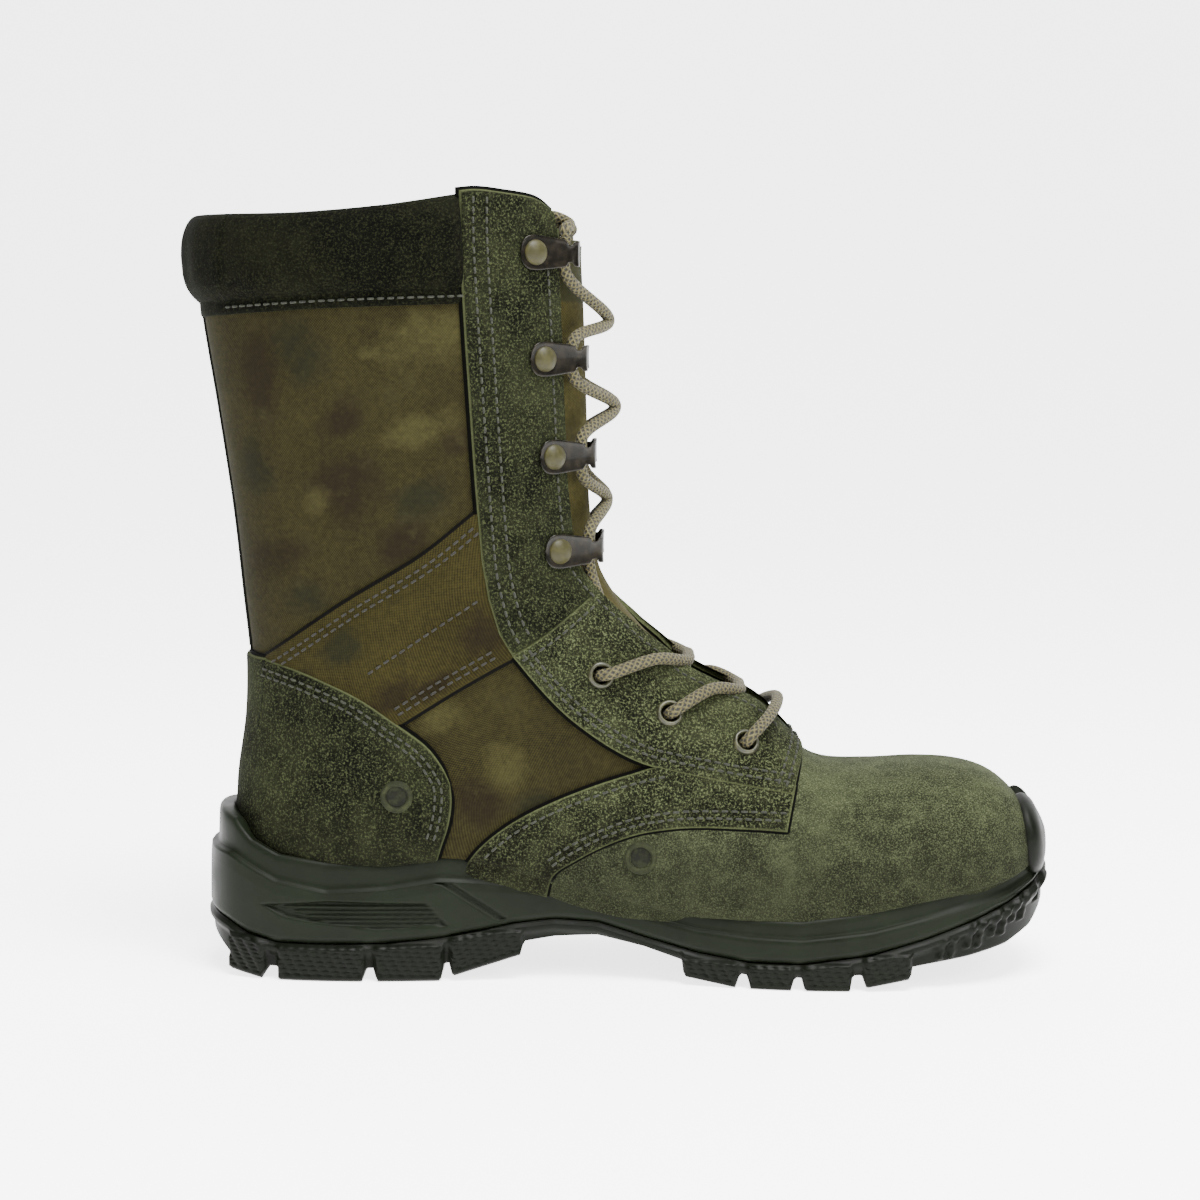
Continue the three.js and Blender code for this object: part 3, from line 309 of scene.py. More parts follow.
class Finish:
    """One material: its node tree, and short ways to add nodes to it."""

    def __init__(self, name, **constants):
        self.material = bpy.data.materials.new(name)
        self.material.use_nodes = True
        self.tree = self.material.node_tree
        self.shader = self.tree.nodes["Principled BSDF"]
        for entry, value in constants.items():
            self.shader.inputs[entry.replace("_", " ")].default_value = value
        self.place = self.node("ShaderNodeTexCoord", output="Object")

    def node(self, kind, settings=None, values=None, output=0):
        node = self.tree.nodes.new(kind)
        for name, value in (settings or {}).items():
            setattr(node, name, value)
        for name, value in (values or {}).items():
            plug(self.tree, node.inputs[name], value)
        return Value(self.tree, node.outputs[output])

    def noise(self, size, detail=2.0, roughness=0.55, place=None):
        """Noise whose grains are about this many millimetres across, from 0 to 1."""
        values = {"Vector": place or self.place, "Scale": 1 / (size * MM), "Detail": detail, "Roughness": roughness}
        return self.node("ShaderNodeTexNoise", values=values)

    def ramp(self, value, low, high, start=0.0, end=1.0):
        values = {"Value": value, 1: low, 2: high, 3: start, 4: end}
        return self.node("ShaderNodeMapRange", {"clamp": True}, values)

    def height(self):
        """Millimetres above the ground."""
        parts = self.node("ShaderNodeSeparateXYZ", values={"Vector": self.place})
        return Value(self.tree, parts.socket.node.outputs[2]) * (1 / MM)

    def attribute(self, name):
        return self.node("ShaderNodeAttribute", {"attribute_name": name}, output="Fac")

    def mix(self, share, first, second, blend="MIX"):
        """A mix of two colours, given as (r, g, b) or as Values."""
        settings = {"data_type": "RGBA", "blend_type": blend, "clamp_factor": True}
        values = {0: share, 6: colour(first), 7: colour(second)}
        return self.node("ShaderNodeMix", settings, values, output=2)

    def finish(self, base, rough, bumps, **more):
        """Feeds colour, roughness, bumps as (height, strength, distance in mm), and any further inputs."""
        plug(self.tree, self.shader.inputs["Base Color"], colour(base))
        plug(self.tree, self.shader.inputs["Roughness"], rough)
        for name, value in more.items():
            plug(self.tree, self.shader.inputs[name.replace("_", " ")], value)
        normal = None
        for height, strength, distance in bumps:
            values = {"Height": height, "Strength": strength, "Distance": distance * MM}
            if normal:
                values["Normal"] = normal
            normal = self.node("ShaderNodeBump", values=values)
        if normal:
            plug(self.tree, self.shader.inputs["Normal"], normal)
        return self.material


def colour(value):
    """A display colour as three shares of 1, turned linear, or a Value as it is."""
    if isinstance(value, Value):
        return value
    return tuple(c / 12.92 if c <= 0.04045 else ((c + 0.055) / 1.055) ** 2.4 for c in value) + (1.0,)


SUEDE_DARK = (0.024, 0.027, 0.014)
SUEDE_MID = (0.11, 0.119, 0.073)
SUEDE_PALE = (0.27, 0.292, 0.195)
RAW_EDGE = (0.27, 0.29, 0.19)


# Painted shade: the near black of the welt rings round the panels, a shadow line at their borders
SEAM_SHADE_COLOUR = (0.012, 0.013, 0.008)
# Painted shade: the colour the suede darkens to towards the ground
GROUND_SHADE_COLOUR = (0.03, 0.03, 0.02)


def suede_finish(name, dark=SUEDE_DARK, mid=SUEDE_MID, pale=SUEDE_PALE, grain=1.0):
    """Brushed suede: speckled nap, cloudy brushing, pale raw cut edges, painted shade in the welts round the panels,
    and painted shade darkening it towards the ground.
    """
    made = Finish(name, Specular_IOR_Level=0.04)
    speckle = made.noise(0.75 * grain, 4.0, 0.8)
    fibre = made.noise(0.4 * grain, 2.0, 0.7)
    cloud = made.noise(8.0, 4.0, 0.65)
    broad = made.noise(40.0, 3.0)
    tone = made.ramp(speckle * 0.6 + fibre * 0.25 + cloud * 0.15, 0.45, 0.54)
    base = made.mix(tone, dark, mid)
    base = made.mix(made.ramp(speckle, 0.53, 0.6) * 0.85, base, pale)
    base = made.mix(made.ramp(broad + (cloud - 0.5) * 0.4, 0.42, 0.68) * 0.22, base, pale)
    edge = made.attribute("edge_mm")
    raw = 1.0 - made.ramp(edge + (speckle - 0.5) * 0.9, 0.05, 0.5)
    base = made.mix(raw * 0.5, base, RAW_EDGE)
    # Painted shade: the suede darker towards the ground, where less light falls on the low parts
    ground_shade = 1.0 - made.ramp(made.height() + (cloud - 0.5) * 30.0, 38.0, 66.0)
    base = made.mix(ground_shade * 0.55, base, GROUND_SHADE_COLOUR)
    # Painted shade: the welt rings round the panel, where edge_mm is below zero, darkened as a shadow line
    base = made.mix(1.0 - made.ramp(edge, -0.7, -0.2), base, SEAM_SHADE_COLOUR)
    bumps = [(cloud, 0.35, 1.0), (speckle, 0.8, 0.3 * grain), (fibre, 0.5, 0.12)]
    return made.finish(base, 0.95, bumps)


def rubber_finish(name, dark, pale):
    """Moulded rubber: faint clouding, a fine pitted skin and a low gloss."""
    made = Finish(name, Specular_IOR_Level=0.08)
    cloud = made.noise(14.0, 4.0, 0.6)
    pits = made.noise(0.5, 2.0, 0.6)
    base = made.mix(made.ramp(cloud, 0.35, 0.68), dark, pale)
    return made.finish(base, made.ramp(cloud, 0.3, 0.7, 0.42, 0.58), [(pits, 0.25, 0.1)])


def cloth_finish(name, dark, pale, thread=0.55, blotches=()):
    """Woven cloth: over-and-under threads from the piece's own map, with blotches by attribute."""
    made = Finish(name, Specular_IOR_Level=0.06)
    uv = made.node("ShaderNodeUVMap", {"uv_map": "surface"})
    parts = made.node("ShaderNodeSeparateXYZ", values={"Vector": uv})
    across = parts
    down = Value(made.tree, parts.socket.node.outputs[1])
    turn = math.pi / thread
    wave_u = (across * turn).math("SINE")
    wave_v = (down * turn).math("SINE")
    weave = wave_u * wave_v
    lift = weave.math("ABSOLUTE")
    worn = made.noise(1.6, 3.0, 0.7)
    cloud = made.noise(26.0, 3.0)
    base = made.mix(made.ramp(weave * 0.3 + worn * 0.7 + cloud * 0.4, 0.2, 0.95), dark, pale)
    for attribute, tint in blotches:
        share = made.attribute(attribute) + (made.noise(13.0, 6.0, 0.7) - 0.5) * 3.0
        tinted = made.mix(made.ramp(weave * 0.25 + worn, 0.2, 0.8), [c * 0.72 for c in tint], tint)
        base = made.mix(made.ramp(share, 0.2, 1.0) * 0.75, base, tinted)
    # Painted shade: the welt rings round the panel, where edge_mm is below zero, darkened as a shadow line
    base = made.mix(1.0 - made.ramp(made.attribute("edge_mm"), -0.7, -0.2), base, SEAM_SHADE_COLOUR)
    return made.finish(base, 0.9, [(cloud, 0.15, 1.5), (lift, 0.5, 0.16)])


# Creases and dents in the boot's skin: side, x and z of the middle, turn, half length, half width, depth in mm
CREASE_COLUMNS = ("side", "x", "z", "turn", "half_length", "half_width", "depth")
CREASES = np.array([
    (-1, 52, 128, 0.35, 26, 5.0, 1.1),
    (-1, 78, 150, 0.2, 24, 4.5, -0.7),
    (-1, 60, 168, 0.1, 30, 6.0, 0.8),
    (-1, 40, 192, -0.2, 24, 7.0, 0.6),
    (-1, 76, 205, 0.15, 18, 6.0, -0.5),
    (-1, 104, 88, -0.75, 22, 6.0, 0.9),
    (-1, 118, 72, -0.5, 18, 5.0, -0.6),
    (-1, 92, 66, -0.2, 12, 6.0, 0.7),
    (-1, 178, 66, 0.6, 20, 6.0, 0.6),
    (-1, 214, 62, 1.1, 16, 7.0, 0.5),
    (-1, 40, 88, 0.1, 22, 9.0, 0.5),
    (-1, 24, 70, 1.4, 20, 7.0, -0.5),
    (1, 55, 132, 0.3, 28, 5.5, 1.1),
    (1, 80, 160, 0.15, 24, 6.0, -0.8),
    (1, 46, 186, -0.1, 26, 7.0, 0.7),
    (1, 110, 86, -0.7, 24, 6.0, 0.9),
    (1, 186, 64, 0.7, 20, 6.0, 0.6),
    (1, 90, 70, -0.3, 14, 6.0, 0.6),
], float)


def crease_depth(points, side):
    """Sum of soft troughs exp(-(along/length)^2 - (across/width)^2) times their depths, on the matching side."""
    total = np.zeros(points.shape[:-1])
    for crease in CREASES:
        spot = dict(zip(CREASE_COLUMNS, crease))
        dx, dz = points[..., 0] - spot["x"], points[..., 2] - spot["z"]
        along = dx * math.cos(spot["turn"]) + dz * math.sin(spot["turn"])
        across = dz * math.cos(spot["turn"]) - dx * math.sin(spot["turn"])
        shape = np.exp(-((along / spot["half_length"]) ** 2) - (across / spot["half_width"]) ** 2)
        total += shape * spot["depth"] * (side * spot["side"] > 0)
    return total


# The covering tucks in behind the sole's rim: depth, and height over which it goes in
TUCK_DEEP = 2.4
TUCK_RUN = 2.5


def boot_point(row, angle, offset):
    """A point of the creased boot surface at an offset along the normal, tucked in behind the sole's rim."""
    base, normal = last_point(row, angle), last_normal(row, angle)
    sideways = np.sin(angle)
    depth = crease_depth(base, np.sign(sideways)) * np.clip(np.abs(sideways) * 1.4, 0, 1)
    above_rim = base[..., 2] - side_value("rim", base[..., 0])
    depth = depth + TUCK_DEEP * (1 - smooth_step(above_rim, -TUCK_RUN, 0))
    return base + normal * (np.asarray(offset, float) - depth)[..., None]


# Half angles of the throat's opening, by row
THROAT = np.array([(0, 36), (2, 36), (4, 37), (5, 32), (7, 26), (10, 22), (12, 17), (12.6, 8), (12.9, 0)], float)
THROAT_END = 12.6


def throat_angle(row, widen=0.0):
    return np.radians(np.interp(row, THROAT[:, 0], THROAT[:, 1]) + widen)


def throat_curve(first_row, end_row, sign, count, widen=0.0):
    """Rows and signed angles down the throat's edge."""
    row = np.linspace(first_row, end_row, count)
    return np.stack([row, sign * throat_angle(row, widen)], axis=-1)


def shares(points):
    """Side-view points in millimetres from shares of the length and levels."""
    points = np.asarray(points, float)
    return np.stack([points[:, 0] * LENGTH, level_height(points[:, 1])], axis=-1)


def resample(curve, count):
    gone = np.concatenate([[0], np.cumsum(np.linalg.norm(np.diff(curve, axis=0), axis=1))])
    at = np.linspace(0, gone[-1], count)
    return np.stack([np.interp(at, gone, curve[:, k]) for k in range(curve.shape[1])], axis=-1)


def coons(low, high, start, end):
    """Rows and angles of a patch between four border curves, the usual blend of the opposite pairs less the corners."""
    v = np.linspace(0, 1, len(start))[:, None, None]
    u = np.linspace(0, 1, len(low))[None, :, None]
    sides = low[None] * (1 - v) + high[None] * v
    ends = start[:, None] * (1 - u) + end[:, None] * u
    corners = (low[0] * (1 - u) + low[-1] * u) * (1 - v) + (high[0] * (1 - u) + high[-1] * u) * v
    return sides + ends - corners


def edge_profile(distance, radius):
    """A quarter round: 0 at the edge, 1 from the radius inwards."""
    inside = np.clip(distance / radius, 0, 1)
    return np.sqrt(np.clip(1 - (1 - inside) ** 2, 0, 1))


PANEL_EDGE = 0.9
PANEL_RAW = 0.62
PANEL_SKIRT = 0.8
WELT_HEIGHT = 0.95
WELT_SHARE = 0.45
# Rings outside a panel's border: step out in mm, share of the welt's height, mark in edge_mm; marks below zero take the
# painted seam shade
WELT_RINGS = ((0.25, 1.25, -0.1), (0.1, 1.0, -0.8), (1.1, 0.85, -1.5))


def grow(patch, distance):
    """The patch with one more ring of points, a distance in mm outside its border."""
    for axis in (0, 1):
        turned = np.swapaxes(patch, 0, axis)
        flat = last_point(turned[..., 0], turned[..., 1])
        ends = []
        for edge, inner in ((0, 1), (-1, -2)):
            length = np.maximum(np.linalg.norm(flat[edge] - flat[inner], axis=-1), 0.05)
            ends.append(turned[edge] + (turned[edge] - turned[inner]) * (distance / length)[:, None])
        turned = np.concatenate([ends[0][None], turned, ends[1][None]])
        patch = np.swapaxes(turned, 0, axis)
    return patch


def panel_grid(patch, base, thick):
    """Points, border distances and faces of a sheet lying on the boot, with cut edges and a sunk welt around it."""
    flat = last_point(patch[..., 0], patch[..., 1])
    along = np.linalg.norm(np.diff(flat, axis=1), axis=-1)
    across = np.linalg.norm(np.diff(flat, axis=0), axis=-1)
    from_start = np.concatenate([np.zeros((len(flat), 1)), np.cumsum(along, axis=1)], axis=1)
    from_low = np.concatenate([np.zeros((1, flat.shape[1])), np.cumsum(across, axis=0)], axis=0)
    near = np.minimum.reduce([
        from_start, from_start[:, -1:] - from_start, from_low, from_low[-1:] - from_low])
    height = base + thick * (PANEL_RAW + (1 - PANEL_RAW) * edge_profile(near, PANEL_EDGE))
    uv = np.stack([from_start, from_low], axis=-1)
    welt = min(WELT_HEIGHT, base + thick * WELT_SHARE)
    for distance, share, mark in WELT_RINGS:
        patch = grow(patch, distance)
        height = np.pad(height, 1, constant_values=welt * share)
        near = np.pad(near, 1, constant_values=mark)
        uv = np.pad(uv, ((1, 1), (1, 1), (0, 0)), mode="edge")
    patch = np.pad(patch, ((1, 1), (1, 1), (0, 0)), mode="edge")
    height = np.pad(height, 1, constant_values=base - PANEL_SKIRT)
    near = np.pad(near, 1, constant_values=mark)
    uv = np.pad(uv, ((1, 1), (1, 1), (0, 0)), mode="edge")
    return boot_point(patch[..., 0], patch[..., 1], height), near, uv


def make_panel(name, patch, base, thick, flip=False):
    """One sheet on the boot's surface; its attribute edge_mm is the distance to its nearest border."""
    points, near, uv = panel_grid(patch, base, thick)
    rows, columns = points.shape[:2]
    faces = grid_faces(rows, columns)
    if flip:
        faces = faces[:, ::-1]
    obj = put_mesh(name, points.reshape(-1, 3), faces)
    add_uv(obj, uv.reshape(-1, 2))
    add_distance(obj, near.ravel())
    return obj


def grid_map(points):
    """A map of a grid's points by the millimetres gone along its middle row and down its columns."""
    along = np.linalg.norm(np.diff(points[len(points) // 4], axis=0), axis=-1)
    down = np.linalg.norm(np.diff(points, axis=0), axis=-1).mean(axis=1)
    u, v = (np.concatenate([[0], np.cumsum(step)]) for step in (along, down))
    return np.stack(np.meshgrid(u, v), axis=-1)


def add_distance(obj, values):
    """The attribute edge_mm, in millimetres, one value for each vertex."""
    layer = obj.data.attributes.new("edge_mm", "FLOAT", "POINT")
    layer.data.foreach_set("value", np.asarray(values, float))


def weld(obj, distance=0.01, turn_out=False):
    """Joins the vertices that lie on each other, at a grid's seams and poles."""
    shape = bmesh.new()
    shape.from_mesh(obj.data)
    bmesh.ops.remove_doubles(shape, verts=shape.verts, dist=distance * MM)
    if turn_out:
        bmesh.ops.recalc_face_normals(shape, faces=shape.faces)
    shape.to_mesh(obj.data)
    shape.free()
    return obj


# Borders of the panels, as shares of the length and levels
COLLAR_EDGE = shares([(-0.03, 1.958), (0.017, 1.958), (0.312, 1.993), (0.354, 2.035), (0.391, 2.014), (0.44, 2.01)])
FACING_BACK = shares([(0.311, 2.066), (0.311, 1.944), (0.317, 1.703), (0.325, 1.426), (0.333, 1.192), (0.341, 1.094),
                      (0.353, 1.01), (0.368, 0.949)])
FACING_TOP = shares([(0.311, 2.066), (0.33, 2.069), (0.357, 2.063), (0.393, 2.05), (0.412, 2.02)])
FACING_FOOT = shares([(0.368, 0.949), (0.407, 1.008), (0.455, 1.09)])
EYESTAY_LOW = shares([(0.368, 0.949), (0.393, 0.872), (0.424, 0.788), (0.454, 0.726), (0.485, 0.674), (0.516, 0.636),
                      (0.55, 0.612), (0.62, 0.575), (0.691, 0.536)])
EYESTAY_FRONT = shares([(0.691, 0.536), (0.704, 0.632), (0.712, 0.68)])
WING_HIGH = shares([(0.3, 0.27), (0.324, 0.372), (0.361, 0.451), (0.408, 0.515), (0.454, 0.561), (0.501, 0.598),
                    (0.55, 0.625), (0.62, 0.6), (0.695, 0.56)])
WING_LOW = shares([(0.405, 0.24), (0.414, 0.309), (0.439, 0.352), (0.47, 0.393), (0.501, 0.424), (0.531, 0.442),
                   (0.577, 0.454), (0.638, 0.451), (0.684, 0.444)])
STRAP_HIGH = shares([(0.06, 0.9), (0.078, 0.93), (0.171, 1.076), (0.261, 1.193), (0.325, 1.299), (0.36, 1.355)])
STRAP_LOW = shares([(0.2, 0.69), (0.236, 0.747), (0.296, 0.841), (0.359, 0.931), (0.405, 0.985)])
COUNTER_TOP = shares([(0.077, 0.924), (0.115, 0.9), (0.149, 0.868), (0.19, 0.82), (0.232, 0.75), (0.266, 0.688),
                      (0.285, 0.629), (0.295, 0.578)])
COUNTER_FRONT = shares([(0.295, 0.578), (0.296, 0.52), (0.292, 0.453), (0.283, 0.385), (0.272, 0.29)])
COUNTER_LOW = shares([(0.06, 0.36), (0.1, 0.3), (0.18, 0.27), (0.272, 0.29)])
CUFF_LOW = shares([(0.04, 1.777), (0.163, 1.792), (0.318, 1.803)])
CUFF_HIGH = shares([(0.04, 2.0), (0.13, 2.002), (0.229, 2.019), (0.312, 2.045)])


def back_row(level):
    """The row whose back line is at this level."""
    rows = np.linspace(0, 8.5, 400)
    heights = catmull(SECTIONS, rows)[:, 1]
    return float(np.interp(-level, -heights, rows))


def around_back(points, level, count, corners=False):
    """One curve round the heel's back: far side, back line at this level, then near side, its angles running on."""
    far = side_curve(points[::-1], 1, count, corners)
    near = side_curve(points, -1, count, corners)
    middle = np.array([[back_row(level), math.pi]])
    near[:, 1] += 2 * math.pi
    whole = np.concatenate([far, middle, near])
    return smooth_curve(whole, 2 * count)


def end_line(start, end, count):
    return start[None] + (end - start)[None] * np.linspace(0, 1, count)[:, None]


def side_name(sign):
    return "near" if sign < 0 else "far"


# Camouflage spots: kind, x and z of the middle, half width and half height in mm, and turn
CANVAS_SPOTS = (
    ("brown", 54, 172, 14, 14, 0.2),
    ("brown", 25, 212, 8, 14, 0.0),
    ("brown", 29, 149, 10, 6, 0.2),
    ("brown", 93, 191, 8, 5, 0.3),
    ("brown", 73, 154, 10, 7, 0.5),
    ("brown", 53, 197, 9, 6, 0.6),
    ("brown", 99, 63, 9, 10, 0.3),
    ("green", 39, 219, 10, 11, 0.0),
    ("green", 40, 134, 8, 6, 0.3),
    ("green", 22, 180, 6, 10, 0.1),
    ("green", 80, 170, 10, 6, 0.4),
    ("green", 120, 62, 8, 5, 0.3),
    ("pale", 82, 225, 16, 8, 0.1),
    ("pale", 83, 194, 14, 6, 0.35),
    ("pale", 44, 168, 5, 5, 0.0),
    ("pale", 63, 220, 4, 3, 0.0),
    ("pale", 86, 93, 8, 6, 0.5),
    ("pale", 107, 76, 7, 8, 0.2),
)
STRAP_SPOTS = (
    ("brown", 101, 122, 8, 9, 0.6),
    ("brown", 68, 100, 12, 5, 0.5),
    ("brown", 83, 104, 10, 3, 0.5),
    ("green", 52, 118, 8, 6, 0.5),
)
SPOT_KINDS = ("brown", "green", "pale")


def add_blotches(obj, points, spots=CANVAS_SPOTS):
    """One attribute for each kind of spot: 1 in a spot's middle, 0 from its edge outwards, the same on both sides."""
    for kind in SPOT_KINDS:
        most = np.zeros(len(points))
        for _, x, z, wide, high, turn in (spot for spot in spots if spot[0] == kind):
            dx, dz = points[:, 0] - x, points[:, 2] - z
            along = (dx * math.cos(turn) + dz * math.sin(turn)) / wide
            across = (dz * math.cos(turn) - dx * math.sin(turn)) / high
            most = np.maximum(most, np.clip(1.5 - np.hypot(along, across), 0, 1))
        layer = obj.data.attributes.new(kind, "FLOAT", "POINT")
        layer.data.foreach_set("value", most)


def mesh_points(obj):
    """A mesh's vertices in millimetres of the last's frame."""
    places = np.empty(len(obj.data.vertices) * 3)
    obj.data.vertices.foreach_get("co", places)
    return places.reshape(-1, 3) / MM - SHIFT


def to_pole(points):
    """The grid with its last row drawn to one point."""
    points[-1] = points[-1].mean(axis=0)
    return points


SKIN_ROWS = 156
SKIN_COLUMNS = 250


def make_skin(material, lining):
    """The canvas shell: outer face down from the collar, throat open at the front, and the lined face inside it."""
    angle_share = np.linspace(0, 1, SKIN_COLUMNS)
    edge = side_curve(COLLAR_EDGE, 1, 60)
    order = np.argsort(edge[:, 1])
    share = np.linspace(0, 1, SKIN_ROWS)
    row = np.repeat(share[:, None] * LAST_ROW, SKIN_COLUMNS, axis=1)
    open_angle = throat_angle(row)
    angle = open_angle + (2 * math.pi - 2 * open_angle) * angle_share
    folded = np.where(angle > math.pi, 2 * math.pi - angle, angle)
    top = np.interp(folded, edge[order, 1], edge[order, 0])
    row = top + (LAST_ROW - top) * share[:, None]
    open_angle = throat_angle(row)
    angle = open_angle + (2 * math.pi - 2 * open_angle) * angle_share
    outer = to_pole(boot_point(row, angle, np.zeros_like(row)))
    inner = to_pole(boot_point(row, angle, np.full_like(row, -WALL)))
    faces = grid_faces(SKIN_ROWS, SKIN_COLUMNS)
    count = SKIN_ROWS * SKIN_COLUMNS
    columns = np.arange(SKIN_COLUMNS - 1)
    rim = np.stack([columns, columns + count, columns + count + 1, columns + 1], axis=-1)
    rows = np.nonzero(open_angle[:-1, 0] > 0)[0] * SKIN_COLUMNS
    first = np.stack([rows, rows + SKIN_COLUMNS, rows + SKIN_COLUMNS + count, rows + count], axis=-1)
    final = first[:, ::-1] + SKIN_COLUMNS - 1
    points = np.concatenate([outer.reshape(-1, 3), inner.reshape(-1, 3)])
    obj = put_mesh("boot_skin", points, np.concatenate([faces[:, ::-1], faces + count, rim, first, final]))
    add_uv(obj, np.tile(grid_map(outer).reshape(-1, 2), (2, 1)))
    obj.data.materials.append(material)
    obj.data.materials.append(lining)
    inside = np.zeros(len(obj.data.polygons), np.int32)
    inside[len(faces):2 * len(faces)] = 1
    obj.data.polygons.foreach_set("material_index", inside)
    add_blotches(obj, np.concatenate([outer, inner]).reshape(-1, 3))
    weld(obj, turn_out=True)
    for sign in (-1, 1):
        cut_eyelet_holes(obj, sign)
    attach(obj, "root")
    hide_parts("upper")


VAMP_BASE = 0.15
VAMP_THICK = 0.7
VAMP_BACK = shares([(0.34, 0.3), (0.4, 0.4), (0.45, 0.47), (0.5, 0.51), (0.56, 0.535), (0.64, 0.515), (0.68, 0.52),
                    (0.7, 0.6), (0.708, 0.66)])


def make_vamp(material):
    """Suede over the toe: back edge under the wings and eyestays, closed round the toe and under the sole's rim."""
    columns = 220
    back = side_curve(VAMP_BACK, 1, 90)
    order = np.argsort(back[:, 1])
    angle = np.linspace(-math.pi, math.pi, columns)
    start = np.interp(np.abs(angle), back[order, 1], back[order, 0])
    start = np.minimum(start, 12.2)
    share = np.linspace(0, 1, 110)[:, None]
    row = start + (LAST_ROW - start) * share
    angle = np.broadcast_to(angle, row.shape)
    near = (row - start) * LENGTH / LAST_ROW
    height = VAMP_BASE + VAMP_THICK * (0.3 + 0.7 * edge_profile(near, PANEL_EDGE))
    row, angle = np.concatenate([row[:1], row]), np.concatenate([angle[:1], angle])
    height = np.concatenate([height[:1] * 0 - PANEL_SKIRT, height])
    points = to_pole(boot_point(row, angle, height))
    obj = put_mesh("vamp_suede_painted_light", points.reshape(-1, 3), grid_faces(*row.shape)[:, ::-1])
    add_distance(obj, np.concatenate([near[:1], near]).ravel())
    weld(obj)
    dress(obj, material)


EYESTAY_THICK = 1.8
FACING_THICK = 1.8
WING_THICK = 1.5
STRAP_THICK = 1.1
COUNTER_THICK = 1.5


def make_side_panels(sign, suede, shaft_suede_painted_shade, webbing):
    name = side_name(sign)
    low = side_curve(STRAP_LOW, sign, 110)
    high = side_curve(STRAP_HIGH, sign, 110)
    patch = coons(low, high, end_line(low[0], high[0], 60), end_line(low[-1], high[-1], 60))
    strap = make_panel(f"strap_{name}_webbing", patch, 0.2, STRAP_THICK, flip=sign > 0)
    add_blotches(strap, mesh_points(strap), STRAP_SPOTS)
    dress(strap, webbing, [f"strap_{name}"])

    low = side_curve(WING_LOW, sign, 140)
    high = side_curve(WING_HIGH, sign, 140)
    patch = coons(low, high, end_line(low[0], high[0], 40), end_line(low[-1], high[-1], 40))
    dress(make_panel(f"wing_{name}_suede", patch, 0.3, WING_THICK, flip=sign > 0), suede, [f"wing_{name}"])

    foot = side_curve(FACING_FOOT, sign, 50)
    seam = throat_curve(3.9, THROAT_END, sign, 150)
    foot = np.concatenate([foot, seam[:1]])
    foot = resample(foot, 60)
    low = side_curve(EYESTAY_LOW, sign, 150)
    front = np.concatenate([side_curve(EYESTAY_FRONT, sign, 20), seam[-1:]])
    front = resample(front, 60)
    patch = coons(low, seam, foot, front)
    panel = make_panel(f"eyestay_{name}_suede", patch, 0.9, EYESTAY_THICK, flip=sign > 0)
    cut_eyelet_holes(panel, sign)
    dress(panel, suede, [f"eyestay_{name}"])

    back = side_curve(FACING_BACK, sign, 150, corners=True)
    seam = throat_curve(0.58, 3.9, sign, 150)
    top = resample(np.concatenate([side_curve(FACING_TOP, sign, 40), seam[:1]]), 60)
    patch = coons(back, seam, top, foot)
    panel = make_panel(f"facing_{name}_suede", patch, 0.7, FACING_THICK, flip=sign > 0)
    dress(panel, shaft_suede_painted_shade, [f"facing_{name}"])


def make_counter(suede):
    columns = 130
    top = np.concatenate([COUNTER_TOP, COUNTER_FRONT[1:2]])
    low = around_back(COUNTER_LOW, 0.42, columns)
    high = around_back(COUNTER_TOP, 0.929, columns)
    far_end = resample(side_curve(COUNTER_FRONT[::-1], 1, 60), 70)
    near_end = resample(side_curve(COUNTER_FRONT[::-1], -1, 60), 70)
    near_end[:, 1] += 2 * math.pi
    patch = coons(low, high, far_end, near_end)
    dress(make_panel("counter_suede", patch, 0.7, COUNTER_THICK), suede, ["heel_counter"])


# The cuff's section: share of the way from its lower to its upper edge, and height over the boot
CUFF_SECTION = np.array([
    (0.0, -0.4), (0.0, 0.5), (0.01, 1.1), (0.05, 1.4), (0.12, 1.3), (0.16, 1.0), (0.2, 1.9), (0.27, 3.4), (0.38, 4.9),
    (0.52, 5.6), (0.68, 5.5), (0.84, 4.7), (0.97, 3.0), (1.05, 0.8), (1.07, -1.6), (1.03, -3.9), (0.92, -5.6),
    (0.76, -6.5), (0.58, -6.6), (0.4, -6.0), (0.22, -4.6), (0.08, -3.2), (0.02, -1.8)], float)


